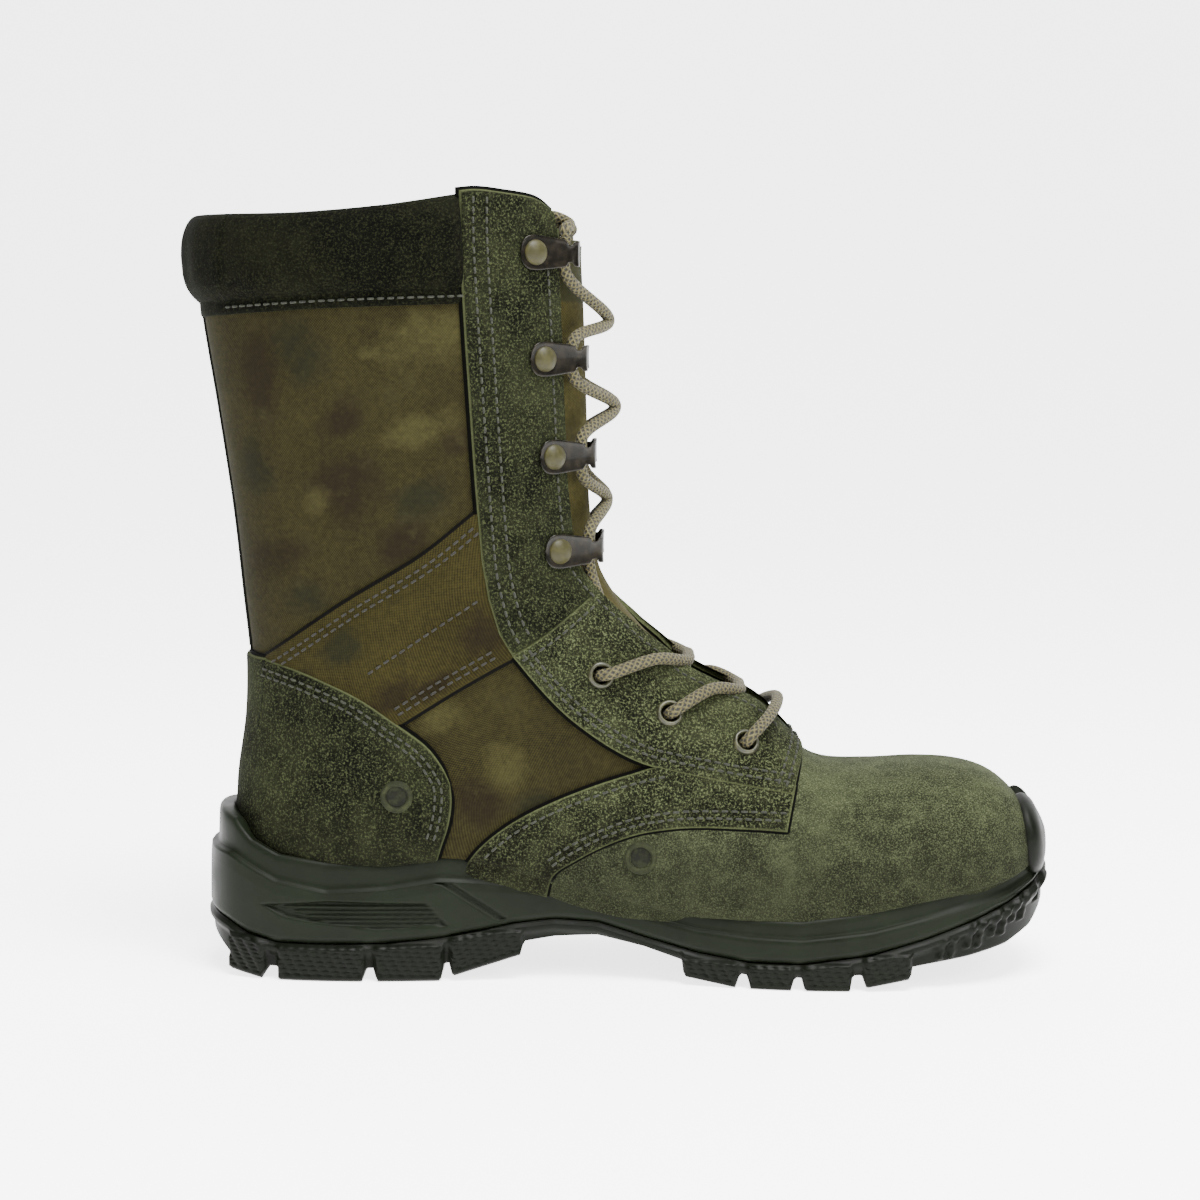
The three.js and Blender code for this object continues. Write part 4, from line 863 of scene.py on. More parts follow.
def make_cuff(suede):
    """A padded roll: the section swept round the collar, its puffs and dimples along the stitched flange."""
    columns = 360
    low = around_back(CUFF_LOW, 1.771, columns // 2)
    high = around_back(CUFF_HIGH, 2.0, columns // 2)
    section = smooth_curve(CUFF_SECTION, 72)
    share, height = section[:, :1], section[:, 1:]
    row = low[None, :, 0] + (high[None, :, 0] - low[None, :, 0]) * share
    angle = low[None, :, 1] + (high[None, :, 1] - low[None, :, 1]) * np.clip(share, 0, 1)
    row = np.maximum(row, -0.0)
    along = np.linspace(0, 1, low.shape[0])[None]
    ends = np.clip(np.minimum(along, 1 - along) / 0.02, 0, 1)
    ends = np.sqrt(1 - (1 - ends) ** 2)
    puff = 1 + 0.05 * np.sin(along * 61) + 0.04 * np.sin(along * 103 + 1.3)
    height = np.where(height > 1.5, 1.5 + (height - 1.5) * puff, height)
    height = -1 + (height + 1) * (0.35 + 0.65 * ends)
    points = boot_point(row, angle, height)
    # Above the wall's top the roll turns over, so its top is lifted by height, not by the last's rows.
    start = np.repeat(points[:, :1].mean(axis=0, keepdims=True), 1, axis=0)
    finish = np.repeat(points[:, -1:].mean(axis=0, keepdims=True), 1, axis=0)
    count = points.shape[0] * points.shape[1]
    faces = grid_faces(*row.shape, closed_rows=True)
    ring = np.arange(points.shape[0]) * points.shape[1]
    after = np.roll(ring, -1)
    caps = np.concatenate([
        np.stack([ring, after, np.full_like(ring, count), np.full_like(ring, count)], axis=-1),
        np.stack([after + points.shape[1] - 1, ring + points.shape[1] - 1, np.full_like(ring, count + 1),
                  np.full_like(ring, count + 1)], axis=-1)])
    everything = np.concatenate([points.reshape(-1, 3), start[:, 0], finish[:, 0]])
    obj = put_mesh("cuff_roll", everything, np.concatenate([faces, caps]))
    add_distance(obj, np.full(len(everything), 9.0))
    weld(obj, turn_out=True)
    dress(obj, suede, ["collar_cuff"])


BACK_STRIP_WIDTH = 8.0
BACK_STRIP_LOW = 0.945
BACK_STRIP_HIGH = 1.79


def back_angle(row, y):
    """The angle near the back line at which the last is y millimetres to the side."""
    angles = np.linspace(math.pi - 0.6, math.pi + 0.6, 241)
    rows = np.atleast_1d(row)
    side = last_point(rows[:, None], angles[None])[..., 1]
    return np.array([np.interp(-y, -side_row, angles) for side_row in side])


def make_back_strip(webbing):
    rows = np.linspace(back_row(BACK_STRIP_HIGH), back_row(BACK_STRIP_LOW), 120)
    sides = [back_angle(rows, y) for y in np.linspace(BACK_STRIP_WIDTH / 2, -BACK_STRIP_WIDTH / 2, 16)]
    patch = np.stack([np.broadcast_to(rows[:, None], (120, 16)), np.stack(sides, axis=-1)], axis=-1)
    dress(make_panel("back_strip_webbing", patch, 0.2, 0.8, flip=True), webbing, ["back_strip"])


TONGUE_OUT = -2.6
TONGUE_THICK = 1.5
# Row of the sections where the suede binding of the tongue's top ends
TAB_END = 1.1


def make_tongue(cloth):
    """A bellows tongue behind the throat, with a few long folds and a closed top edge."""
    rows, columns = 130, 70
    row = np.linspace(0.62, 13.0, rows)[:, None]
    half = throat_angle(np.minimum(row, 12.0), 14)
    across = np.linspace(-1, 1, columns)[None]
    angle = half * across
    row = np.broadcast_to(row, angle.shape)
    folds = 0.9 * np.exp(-((across * 4 - 1.6 - 0.2 * row) ** 2)) - 0.8 * np.exp(-((across * 4 + 2.2 - 0.1 * row) ** 2))
    folds = folds + 0.35 * np.sin(across * 9 + row * 0.9) * np.exp(-((row - 3.0) / 2.2) ** 2)
    outer = boot_point(row, angle, TONGUE_OUT + folds)
    inner = boot_point(row, angle, TONGUE_OUT - TONGUE_THICK + folds)
    points = np.stack([outer, inner])
    count = rows * columns
    faces = grid_faces(rows, columns)
    edge_row, edge_column = np.arange(columns - 1), np.arange(rows - 1) * columns
    top = np.stack([edge_row, edge_row + count, edge_row + count + 1, edge_row + 1], axis=-1)
    foot = (top + (rows - 1) * columns)[:, ::-1]
    left = np.stack([edge_column, edge_column + columns, edge_column + columns + count, edge_column + count], axis=-1)
    right = left[:, ::-1] + columns - 1
    whole = np.concatenate([faces[:, ::-1], faces + count, top, foot, left, right])
    obj = put_mesh("tongue_cloth", points.reshape(-1, 3), whole)
    add_uv(obj, np.tile(grid_map(outer).reshape(-1, 2), (2, 1)))
    tab = obj.data.attributes.new("tab", "FLOAT", "POINT")
    tab.data.foreach_set("value", np.tile(np.clip((TAB_END - row) * 30.0, -3.0, 3.0).ravel(), 2))
    weld(obj, turn_out=True)
    dress(obj, cloth, ["tongue"])


# Plan of the sole: x share of the length, inner and outer share of the width
PLAN = np.array([
    (0, 0, 0), (0.01, 0.165, 0.165), (0.03, 0.25, 0.25), (0.06, 0.305, 0.305), (0.11, 0.35, 0.35), (0.18, 0.37, 0.37),
    (0.26, 0.365, 0.375), (0.34, 0.345, 0.375), (0.42, 0.335, 0.385), (0.5, 0.36, 0.415), (0.58, 0.42, 0.46),
    (0.66, 0.48, 0.5), (0.73, 0.505, 0.5), (0.8, 0.5, 0.475), (0.86, 0.475, 0.43), (0.915, 0.425, 0.36),
    (0.955, 0.345, 0.27), (0.985, 0.235, 0.15), (1, 0.05, -0.05)], float)
# Heights along the sole as shares of the rim's height, and how far the rim and ledge stand in
SIDE_COLUMNS = ("x", "rim", "ledge", "parting", "web", "bed", "rim_in", "ledge_in")
SIDE = np.array([
    (0, 1.4, 1.08, 0.53, 0.36, 0.9, 7.5, 3.2), (0.03, 1.33, 1.05, 0.46, 0.16, 0.9, 6.5, 3),
    (0.055, 1.17, 0.96, 0.37, 0.1, 0.9, 5, 2.6), (0.09, 1.06, 0.84, 0.31, 0.096, 0.89, 4.2, 2.2),
    (0.15, 1, 0.76, 0.305, 0.096, 0.88, 4, 2), (0.22, 1, 0.79, 0.315, 0.1, 0.86, 4, 2),
    (0.28, 1.06, 0.86, 0.355, 0.12, 0.84, 4, 2), (0.33, 1.05, 0.84, 0.415, 0.2, 0.8, 3.6, 1.8),
    (0.37, 0.98, 0.8, 0.475, 0.3, 0.75, 3.2, 1.5), (0.415, 0.885, 0.75, 0.51, 0.355, 0.68, 3, 1.3),
    (0.465, 0.8, 0.67, 0.49, 0.375, 0.6, 3, 1.2), (0.52, 0.695, 0.56, 0.375, 0.3, 0.51, 3.4, 1.2),
    (0.58, 0.615, 0.47, 0.27, 0.16, 0.44, 4, 1.4), (0.64, 0.576, 0.43, 0.21, 0.1, 0.4, 4.4, 1.6),
    (0.7, 0.571, 0.42, 0.21, 0.096, 0.39, 4.4, 1.6), (0.78, 0.655, 0.49, 0.29, 0.125, 0.43, 4.2, 1.6),
    (0.845, 0.765, 0.6, 0.42, 0.2, 0.52, 4.2, 1.8), (0.895, 0.845, 0.7, 0.54, 0.25, 0.61, 4.4, 2),
    (0.945, 0.9, 0.78, 0.675, 0.32, 0.72, 4.8, 2), (0.975, 0.98, 0.86, 0.78, 0.42, 0.8, 5, 2),
    (1, 1.14, 0.98, 0.92, 0.62, 0.85, 5, 2)], float)
STATIONS = 760


def side_value(name, x):
    """A height or inset of the sole at x millimetres from the heel's back."""
    value = np.interp(x / LENGTH, SIDE[:, 0], SIDE[:, SIDE_COLUMNS.index(name)])
    return value if name.endswith("_in") else value * RIM


def plan_outline():
    """Stations round the sole, heel to toe along the inner side and back along the outer, with outward normals."""
    inner = np.stack([PLAN[:, 0] * LENGTH, -PLAN[:, 1] * SOLE_WIDTH], axis=-1)
    outer = np.stack([PLAN[:, 0] * LENGTH, PLAN[:, 2] * SOLE_WIDTH], axis=-1)
    ring = np.concatenate([inner, outer[-2:0:-1]])
    steps = np.linalg.norm(np.roll(ring, -1, axis=0) - ring, axis=1) ** 0.5
    dense = []
    for i in range(len(ring)):
        p = [ring[(i + k) % len(ring)] for k in (-1, 0, 1, 2)]
        t = np.concatenate([[0], np.cumsum([steps[(i + k) % len(ring)] for k in (-1, 0, 1)])])
        at = np.linspace(t[1], t[2], 40, endpoint=False)[:, None]
        a = [(p[k] * (t[k + 1] - at) + p[k + 1] * (at - t[k])) / (t[k + 1] - t[k]) for k in range(3)]
        b = [(a[k] * (t[k + 2] - at) + a[k + 1] * (at - t[k])) / (t[k + 2] - t[k]) for k in range(2)]
        dense.append((b[0] * (t[2] - at) + b[1] * (at - t[1])) / (t[2] - t[1]))
    dense = np.concatenate(dense)
    dense = np.concatenate([dense, dense[:1]])
    ring = resample(dense, STATIONS + 1)[:-1]
    slope = np.roll(ring, -1, axis=0) - np.roll(ring, 1, axis=0)
    normal = np.stack([slope[:, 1], -slope[:, 0]], axis=-1)
    for _ in range(6):
        normal = normal + np.roll(normal, 1, axis=0) + np.roll(normal, -1, axis=0)
    normal /= np.linalg.norm(normal, axis=1, keepdims=True)
    return ring, normal


def smooth_step(value, low, high):
    t = np.clip((value - low) / (high - low), 0, 1)
    return t * t * (3 - 2 * t)


def inside_polygon(x, z, corners):
    """1 inside a side-view polygon of [x, z] points and 0 outside, by the crossing rule."""
    result = np.zeros(x.shape, bool)
    corners = np.asarray(corners, float)
    for (x0, z0), (x1, z1) in zip(corners, np.roll(corners, -1, axis=0)):
        crosses = (z0 > z) != (z1 > z)
        result ^= crosses & (x < (x1 - x0) * (z - z0) / (z1 - z0 + 1e-12) + x0)
    return result


def polygon_depth(x, z, corners):
    """Distance in millimetres from the polygon's border, inside it, and 0 outside."""
    corners = np.asarray(corners, float)
    distance = np.full(x.shape, 1e9)
    for start, end in zip(corners, np.roll(corners, -1, axis=0)):
        way = end - start
        t = np.clip(((x - start[0]) * way[0] + (z - start[1]) * way[1]) / (way @ way), 0, 1)
        distance = np.minimum(distance, np.hypot(x - start[0] - t * way[0], z - start[1] - t * way[1]))
    return np.where(inside_polygon(x, z, corners), distance, 0)


def rim_shares(points):
    points = np.asarray(points, float)
    return points * np.array([LENGTH, RIM])


POCKET = rim_shares([(0.07, 0.64), (0.15, 0.69), (0.268, 0.667), (0.293, 0.46), (0.21, 0.435), (0.13, 0.5), (0.1, 0.535)])
GROOVE = rim_shares([(0.27, 0.87), (0.292, 0.86), (0.365, 0.5), (0.352, 0.49), (0.285, 0.81), (0.27, 0.83)])
POCKET_DEPTH = 1.5
POCKET_RIBS = 5
MIDSOLE_RINGS = 52


def pocket_relief(x, z):
    """How far the midsole's wall stands in: the ribbed pocket and the slanted groove at the heel."""
    depth = POCKET_DEPTH * smooth_step(polygon_depth(x, z, POCKET), 0, 1.0)
    for share in (np.arange(POCKET_RIBS) + 0.5) / POCKET_RIBS:
        height = (0.455 + (0.645 - 0.455) * share) * RIM
        start = (0.16 + (0.085 - 0.16) * share) * LENGTH
        rib = np.exp(-(((z - height) / 0.55) ** 2)) * smooth_step(x, start, start + 3)
        rib = rib * (1 - smooth_step(x, 0.278 * LENGTH, 0.285 * LENGTH))
        depth = depth * (1 - 0.9 * rib)
    return depth + 1.3 * smooth_step(polygon_depth(x, z, GROOVE), 0, 1.0)


def ring_points(ring, normal, inset, height):
    plan = ring[None] - normal[None] * inset[..., None]
    return np.concatenate([plan, height[..., None]], axis=-1)


def make_midsole(rubber):
    """The moulded side wall: rings from the parting line to the ledge, a step, the rim, and down to the insole's bed."""
    ring, normal = plan_outline()
    x = ring[:, 0]
    rim, ledge, parting, bed = (side_value(name, x) for name in ("rim", "ledge", "parting", "bed"))
    rim_in, ledge_in = side_value("rim_in", x), side_value("ledge_in", x)
    profile = [
        (np.full_like(x, 30.0), parting + 1), (np.full_like(x, 2.2), parting + 0.3), (np.full_like(x, 1.2), parting + 0.35),
        (np.full_like(x, 0.5), parting + 1.1), (np.full_like(x, 0.1), parting + 2.4),
        (np.full_like(x, 0.2), parting + (ledge - parting) * 0.5), (np.full_like(x, 0.4), parting + (ledge - parting) * 0.8),
        (np.full_like(x, 0.7), ledge - 0.8), (np.full_like(x, 1.3), ledge), (ledge_in - 0.3, ledge + 0.35),
        (ledge_in, ledge + 0.9), (ledge_in + 0.35, rim - 2.2), (ledge_in + 0.7, rim - 0.9), (ledge_in + 1.4, rim - 0.15),
        (ledge_in + 2.1, rim), (rim_in + 1.5, rim - 0.3), (rim_in + 3.2, rim - 2.5), (rim_in + 6.0, bed + 1),
        (np.full_like(x, 30.0), bed)]
    insets, heights = (np.stack(part) for part in zip(*profile))
    level = np.concatenate([np.arange(4), np.linspace(4, 7, MIDSOLE_RINGS, endpoint=False),
                            np.linspace(7, len(profile) - 1, 38)])
    at = np.floor(np.minimum(level, len(profile) - 1.001)).astype(int)
    part = (level - at)[:, None]
    inset = insets[at] * (1 - part) + insets[at + 1] * part
    height = heights[at] * (1 - part) + heights[at + 1] * part
    wall = ((level > 4) & (level < 7))[:, None]
    inset = inset + wall * pocket_relief(np.broadcast_to(x, height.shape), height)
    points = ring_points(ring, normal, inset, height)
    obj = put_mesh("midsole_wall", points.reshape(-1, 3), grid_faces(*height.shape, closed_columns=True))
    dress(obj, rubber, ["midsole"])


# Lugs along the sole's side: from and to as shares of the length; low at each end and top, in mm
LUGS = np.array([
    (0.034, 0.077, 2.5, 0, 15), (0.093, 0.194, 0, 0, 12.5), (0.207, 0.285, 0, 0, 13), (0.295, 0.378, 1.4, 9, 17.5),
    (0.565, 0.627, 3, 0, 9), (0.64, 0.69, 0, 0, 9), (0.702, 0.757, 0, 0, 9.5), (0.772, 0.826, 1, 4, 12.5)], float)
TOE_RIBS = np.array([(0.866, 10, 18), (0.899, 13.5, 23.5), (0.929, 17, 27), (0.955, 21, 32.5), (0.977, 26, 38)], float)
LUG_PROUD = 1.4
RIB_PROUD = 1.2
RIB_WIDTH = 1.9
RIB_LEAN = 0.25
EDGE_BLEND = 0.7
LUG_REACH = 19.0
OUTSOLE_RINGS = 60


def lug_share(x):
    """1 within a side lug, 0 between them, and the height of the lug's foot."""
    inside, low, top = np.zeros_like(x), np.zeros_like(x), np.zeros_like(x)
    for start, end, low_start, low_end, lug_top in LUGS:
        a, b = start * LENGTH, end * LENGTH
        share = smooth_step(x, a - EDGE_BLEND, a + EDGE_BLEND) * (1 - smooth_step(x, b - EDGE_BLEND, b + EDGE_BLEND))
        here = share > inside
        low = np.where(here, low_start + (low_end - low_start) * np.clip((x - a) / (b - a), 0, 1), low)
        top = np.where(here, lug_top, top)
        inside = np.maximum(inside, share)
    return inside, low, top


def make_outsole(rubber):
    """Rings down the side with lugs and toe ribs, then a tread of blocks and channels across the bottom."""
    ring, normal = plan_outline()
    x = ring[:, 0]
    parting, web = side_value("parting", x), side_value("web", x)
    inside, low, _ = lug_share(x)
    foot = web * (1 - inside) + low * inside
    share = np.linspace(0, 1, OUTSOLE_RINGS)[:, None]
    height = parting + (foot - parting) * share
    inset = -0.4 + 1.2 * (1 - smooth_step(parting - height, 0, 1.8)) + 0 * height
    _, _, top = lug_share(x)
    across = np.broadcast_to(x, height.shape)
    lug = inside * (1 - smooth_step(height, top - 0.8, top + 0.4))
    grooves = 0.5 * (np.sin((across + height * 0.55) * 2 * math.pi / 3.6) > 0.55)
    inset = inset - (LUG_PROUD - grooves * smooth_step(height, foot + 1.5, foot + 2.5)) * lug
    inset = inset + (1 - inside) * 1.6 * smooth_step(parting - height, 2.5, 5.5)
    inset = inset + 1.2 * smooth_step(share, 0.93, 1.0)
    for place, rib_low, rib_high in TOE_RIBS:
        for pair in (-0.5, 0.5):
            middle = place * LENGTH + pair * RIB_WIDTH * 1.9 + (height - rib_low) * RIB_LEAN
            rib = 1 - smooth_step(np.abs(across - middle), RIB_WIDTH * 0.3, RIB_WIDTH * 0.62)
            rib = rib * smooth_step(height, rib_low - 0.6, rib_low + 0.6)
            inset = inset - RIB_PROUD * rib * (1 - smooth_step(height, rib_high - 1.2, rib_high + 0.2))
    wall = ring_points(ring, normal, inset, height)
    cap = ring_points(ring, normal, np.array([[30.0], [1.5]]) + 0 * x, np.stack([parting, parting]))
    wall = np.concatenate([cap, wall])
    obj = put_mesh("outsole_wall", wall.reshape(-1, 3), grid_faces(*wall.shape[:2], closed_columns=True)[:, ::-1])
    dress(obj, rubber, ["outsole"])
    make_tread(wall[-1], rubber)


def make_tread(border, rubber):
    """The bottom: straight lines across the sole between opposite stations, raised and sunk into blocks."""
    half = STATIONS // 2
    inner = border[:half + 1]
    outer = np.concatenate([border[:1], border[:half - 1:-1]])
    count = 72
    v = np.linspace(0, 1, count)[None, :, None]
    points = inner[:, None] * (1 - v) + outer[:, None] * v
    x, y = points[..., 0], points[..., 1]
    width = np.linalg.norm(outer - inner, axis=1)[:, None]
    from_edge = np.minimum(v[..., 0], 1 - v[..., 0]) * width
    web = side_value("web", x)
    inside, low, _ = lug_share(x)
    wave = np.abs(((x + np.abs(y - 1.0) * 0.55) / 19.0) % 1.0 - 0.5) * 2
    centre = 1 - smooth_step(wave, 0.66, 0.76)
    centre = centre * smooth_step(from_edge, LUG_REACH + 2.5, LUG_REACH + 4.5)
    blocks = inside * (1 - smooth_step(from_edge, LUG_REACH - 1, LUG_REACH + 1))
    mask = np.maximum(blocks, centre * (x < 0.9 * LENGTH))
    floor = np.maximum(web - 4.0, 0) * (1 - inside) + low * inside
    height = web * (1 - mask) + floor * mask
    fixed = smooth_step(from_edge, 0.0, 2.0)
    height = points[..., 2] * (1 - fixed) + height * fixed
    points = np.stack([x, y, height], axis=-1)
    obj = put_mesh("outsole_tread", points.reshape(-1, 3), grid_faces(*x.shape)[:, ::-1])
    weld(obj)
    dress(obj, rubber)


BUMPER_OFFSET = 4.7
BUMPER_EDGE = rim_shares([(0.962, 0.62), (0.973, 0.8), (0.977, 0.915), (0.98, 1.23), (0.973, 1.4), (0.96, 1.54), (0.942, 1.67)])


def make_bumper(rubber):
    """The rubber toe guard: the last's tip at the guard's thickness, its edge rounded down to the suede."""
    row, angle = find_on_last(BUMPER_EDGE[:, 0], BUMPER_EDGE[:, 1], -1, BUMPER_OFFSET)
    order = np.argsort(angle)
    columns = 200
    around = np.linspace(-math.pi, math.pi, columns)
    edge = np.interp(np.abs(around), angle[order], row[order])
    share = np.linspace(0, 1, 50)[:, None]
    rows = edge + (LAST_ROW - edge) * share
    around = np.broadcast_to(around, rows.shape)
    near = (rows - edge) * 4.0
    height = BUMPER_OFFSET * (0.25 + 0.75 * edge_profile(near, 2.2))
    rows, around = np.concatenate([rows[:1], rows]), np.concatenate([around[:1], around])
    height = np.concatenate([height[:1] * 0 - 0.5, height])
    points = to_pole(last_offset(rows, around, height))
    obj = put_mesh("toe_bumper", points.reshape(-1, 3), grid_faces(*rows.shape)[:, ::-1])
    weld(obj)
    dress(obj, rubber)


def make_insole(cloth):
    ring, normal = plan_outline()
    half = STATIONS // 2
    x = ring[:, 0]
    inset = np.maximum(side_value("rim_in", x) + 5.5, 10.0)
    bed = side_value("bed", x) + 3.5
    edge = ring_points(ring, normal, inset[None], bed[None])[0]
    inner, outer = edge[:half + 1], np.concatenate([edge[:1], edge[:half - 1:-1]])
    v = np.linspace(0, 1, 14)[None, :, None]
    points = inner[:, None] * (1 - v) + outer[:, None] * v
    points[..., 2] += 2.2 * (2 * v[..., 0] - 1) ** 4
    obj = put_mesh("insole_top", points.reshape(-1, 3), grid_faces(*points.shape[:2])[:, ::-1])
    add_uv(obj, points[..., :2].reshape(-1, 2))
    weld(obj)
    dress(obj, cloth, ["insole"])


# Fittings: places as shares of the length and levels, sizes in mm
EYELETS = np.array([(0.468, 0.885), (0.548, 0.767), (0.636, 0.679)])
HOOKS = np.array([(0.39, 1.923), (0.4, 1.671), (0.41, 1.436), (0.417, 1.207)])
VENTS = np.array([(0.234, 0.541), (0.516, 0.364)])
VENT_LIFTS = (2.1, 0.7)
HOOK_SEAT = 2.9
HOOK_NECK = 14.0
NECK_RUN = 6.0
LACE_RADIUS = 2.15
EYELET_SEAT = 2.6
EYELET_CUT = 3.8


def standing(place, sign, offset):
    """Origin and axes of a fitting on the boot: forwards, up, and the normal."""
    x, z = place[0] * LENGTH, level_height(place[1])
    row, angle = find_on_last(x, z, sign)
    point = boot_point(row, sign * angle, np.array([offset]))[0]
    normal = last_normal(row, sign * angle)[0]
    forward = np.array([1.0, 0, 0]) - normal * normal[0]
    forward /= np.linalg.norm(forward)
    return point, np.stack([forward, np.cross(normal, forward), normal])


def place_points(points, seat):
    origin, axes = seat
    return origin + points @ axes


def lathe(name, profile, sides, seat):
    """A round fitting: a profile of radius and height turned about its seat's normal."""
    profile = np.asarray(profile, float)
    turn = np.linspace(0, 2 * math.pi, sides, endpoint=False)[None]
    ring = np.stack([profile[:, :1] * np.cos(turn), profile[:, :1] * np.sin(turn), profile[:, 1:] + 0 * turn], axis=-1)
    faces = grid_faces(len(profile), sides, closed_columns=True)
    obj = put_mesh(name, place_points(ring.reshape(-1, 3), seat), faces)
    return weld(obj)


def joined(name, pieces):
    """Several objects as one mesh."""
    shape = bmesh.new()
    for piece in pieces:
        shape.from_mesh(piece.data)
        bpy.data.objects.remove(piece)
    mesh = bpy.data.meshes.new(name)
    shape.to_mesh(mesh)
    shape.free()
    obj = bpy.data.objects.new(name, mesh)
    bpy.context.collection.objects.link(obj)
    return obj


# The hook's plate along its middle line: forwards, outwards, half width
HOOK_PATH = np.array([
    (-6.0, 0.4, 0.4), (-5.6, 0.4, 2.6), (-4.4, 0.4, 4.6), (-2.6, 0.4, 5.7), (0.5, 0.4, 6.0), (5, 0.4, 5.5), (11.2, 0.4, 4.7),
    (12.1, 0.35, 4.4), (12.8, 0.2, 3.3), (13.6, 0.1, 3.0), (14.6, 0.1, 3.0), (15.2, 0.2, 3.3), (15.7, 0.3, 4.2),
    (16.8, 0.2, 4.4), (17.7, -0.4, 4.3), (18.0, -1.4, 4.0), (17.9, -2.3, 3.4), (17.7, -2.5, 0.5)], float)
HOOK_HALF = 0.4


def make_hook(place, sign, index, plate_metal, rivet_metal):
    seat = standing(place, sign, HOOK_SEAT)
    path = smooth_curve(HOOK_PATH, 70)
    slope = np.gradient(path[:, :2], axis=0)
    slope /= np.linalg.norm(slope, axis=1, keepdims=True)
    out = np.stack([-slope[:, 1], slope[:, 0]], axis=-1)
    turn = np.linspace(0, 2 * math.pi, 28, endpoint=False)[None]
    wide = np.sign(np.cos(turn)) * np.abs(np.cos(turn)) ** 0.35
    high = np.sign(np.sin(turn)) * np.abs(np.sin(turn)) ** 0.6
    dish = 0.35 * wide**4
    lift = HOOK_HALF * high + dish
    points = np.stack([
        path[:, :1] + out[:, :1] * lift, path[:, 2:] * wide, path[:, 1:2] + out[:, 1:] * lift], axis=-1)
    name = f"hook_{side_name(sign)}_{index + 1}"
    faces = grid_faces(*points.shape[:2], closed_columns=True)
    plate = put_mesh(f"{name}_plate", place_points(points.reshape(-1, 3), seat), faces)
    close_ends(plate)
    dress(plate, plate_metal, [name])
    dome = [(0.0, 3.05), (1.0, 3.0), (1.9, 2.85), (2.8, 2.5), (3.6, 2.0), (4.1, 1.5), (4.35, 1.1), (4.4, 0.8), (4.2, 0.5), (3.6, 0.4)]
    rivet = lathe(f"{name}_rivet", dome[::-1], 40, seat)
    dress(rivet, rivet_metal)


def close_ends(obj):
    """Fills the open ends of a tube."""
    shape = bmesh.new()
    shape.from_mesh(obj.data)
    bmesh.ops.holes_fill(shape, edges=[edge for edge in shape.edges if edge.is_boundary], sides=0)
    bmesh.ops.recalc_face_normals(shape, faces=shape.faces)
    shape.to_mesh(obj.data)
    shape.free()


def make_eyelet(place, sign, index, metal):
    seat = standing(place, sign, EYELET_SEAT)
    turned = [(3.05, -4.4), (3.05, -1.0), (3.1, 0.5), (3.3, 1.0), (3.7, 1.3), (4.1, 1.25), (4.5, 0.9), (4.75, 0.4), (4.8, -0.1),
              (4.75, -0.5)]
    name = f"eyelet_{side_name(sign)}_{index + 1}"
    dress(lathe(f"{name}_ring", turned[::-1], 44, seat), metal, [name])


def make_vent(index, ring_metal, screen_metal):
    seat = standing(VENTS[index], -1, VENT_LIFTS[index])
    rim = [(5.7, -0.6), (5.7, 0.3), (5.5, 0.8), (5.0, 1.15), (4.5, 1.15), (4.0, 0.85), (3.75, 0.35), (3.7, -0.1)]
    dress(lathe(f"vent_{index + 1}_ring", rim, 44, seat), ring_metal, [f"vent_{index + 1}"])
    screen = [(3.85, 0.15), (2.6, 0.2), (1.3, 0.22), (0.0, 0.22)]
    dress(lathe(f"vent_{index + 1}_screen", screen, 32, seat), screen_metal)


def cut_eyelet_holes(obj, sign, radius=EYELET_CUT):
    """Takes out the faces round each eyelet's axis, so the lace goes through."""
    mesh = obj.data
    centres = np.empty(len(mesh.polygons) * 3)
    mesh.polygons.foreach_get("center", centres)
    centres = centres.reshape(-1, 3)
    doomed = np.zeros(len(centres), bool)
    for place in EYELETS:
        origin, axes = standing(place, sign, 0)
        local = (centres / MM - SHIFT - origin) @ axes.T
        doomed |= (np.hypot(local[:, 0], local[:, 1]) < radius) & (np.abs(local[:, 2]) < 9)
    shape = bmesh.new()
    shape.from_mesh(mesh)
    shape.faces.ensure_lookup_table()
    bmesh.ops.delete(shape, geom=[shape.faces[i] for i in np.nonzero(doomed)[0]], context="FACES")
    shape.to_mesh(mesh)
    shape.free()


LACE_STEP = 0.7
LACE_SIDES = 14
TUCK = -3.4
# Crossings over the middle of the throat: section row and lift over the last
HOOK_CROSSINGS = np.array([(1.23, 6.5), (2.0, 8), (3.05, 4)])
EYELET_CROSSINGS = np.array([(4.6, 1.5), (7.9, 2.5), (10.1, 2.5)])
LAST_BAR = (11.3, 6.5)


def over_last(row, angle, lift):
    return last_offset(np.array([row]), np.array([angle]), lift)[0]


def neck_points(place, sign):
    origin, axes = standing(place, sign, HOOK_SEAT)
    neck = origin + np.array([HOOK_NECK, 0, -LACE_RADIUS - 0.9]) @ axes
    return [neck + [0, 0, NECK_RUN], neck - [0, 0, NECK_RUN]]


def eyelet_run(place, sign, edge_row, next_row):
    """From under the eyestay's edge, out through the hole, and back over the edge."""
    x, z = place[0] * LENGTH, level_height(place[1])
    row, angle = (float(v[0]) for v in find_on_last(x, z, sign))
    edge_angle = float(throat_angle(row))
    under = over_last((row + edge_row) / 2, sign * (edge_angle + angle) / 2, TUCK)
    sunk = over_last(row, sign * angle, TUCK + 0.6)
    rising = over_last(row, sign * angle, 1.5)
    out = over_last((row * 0.94 + next_row * 0.06), sign * (angle * 0.93 + edge_angle * 0.07), 5.0)
    over = over_last((row * 0.72 + next_row * 0.28), sign * (angle * 0.4 + edge_angle * 0.6), 5.6)
    return [under, sunk, rising, out, over]


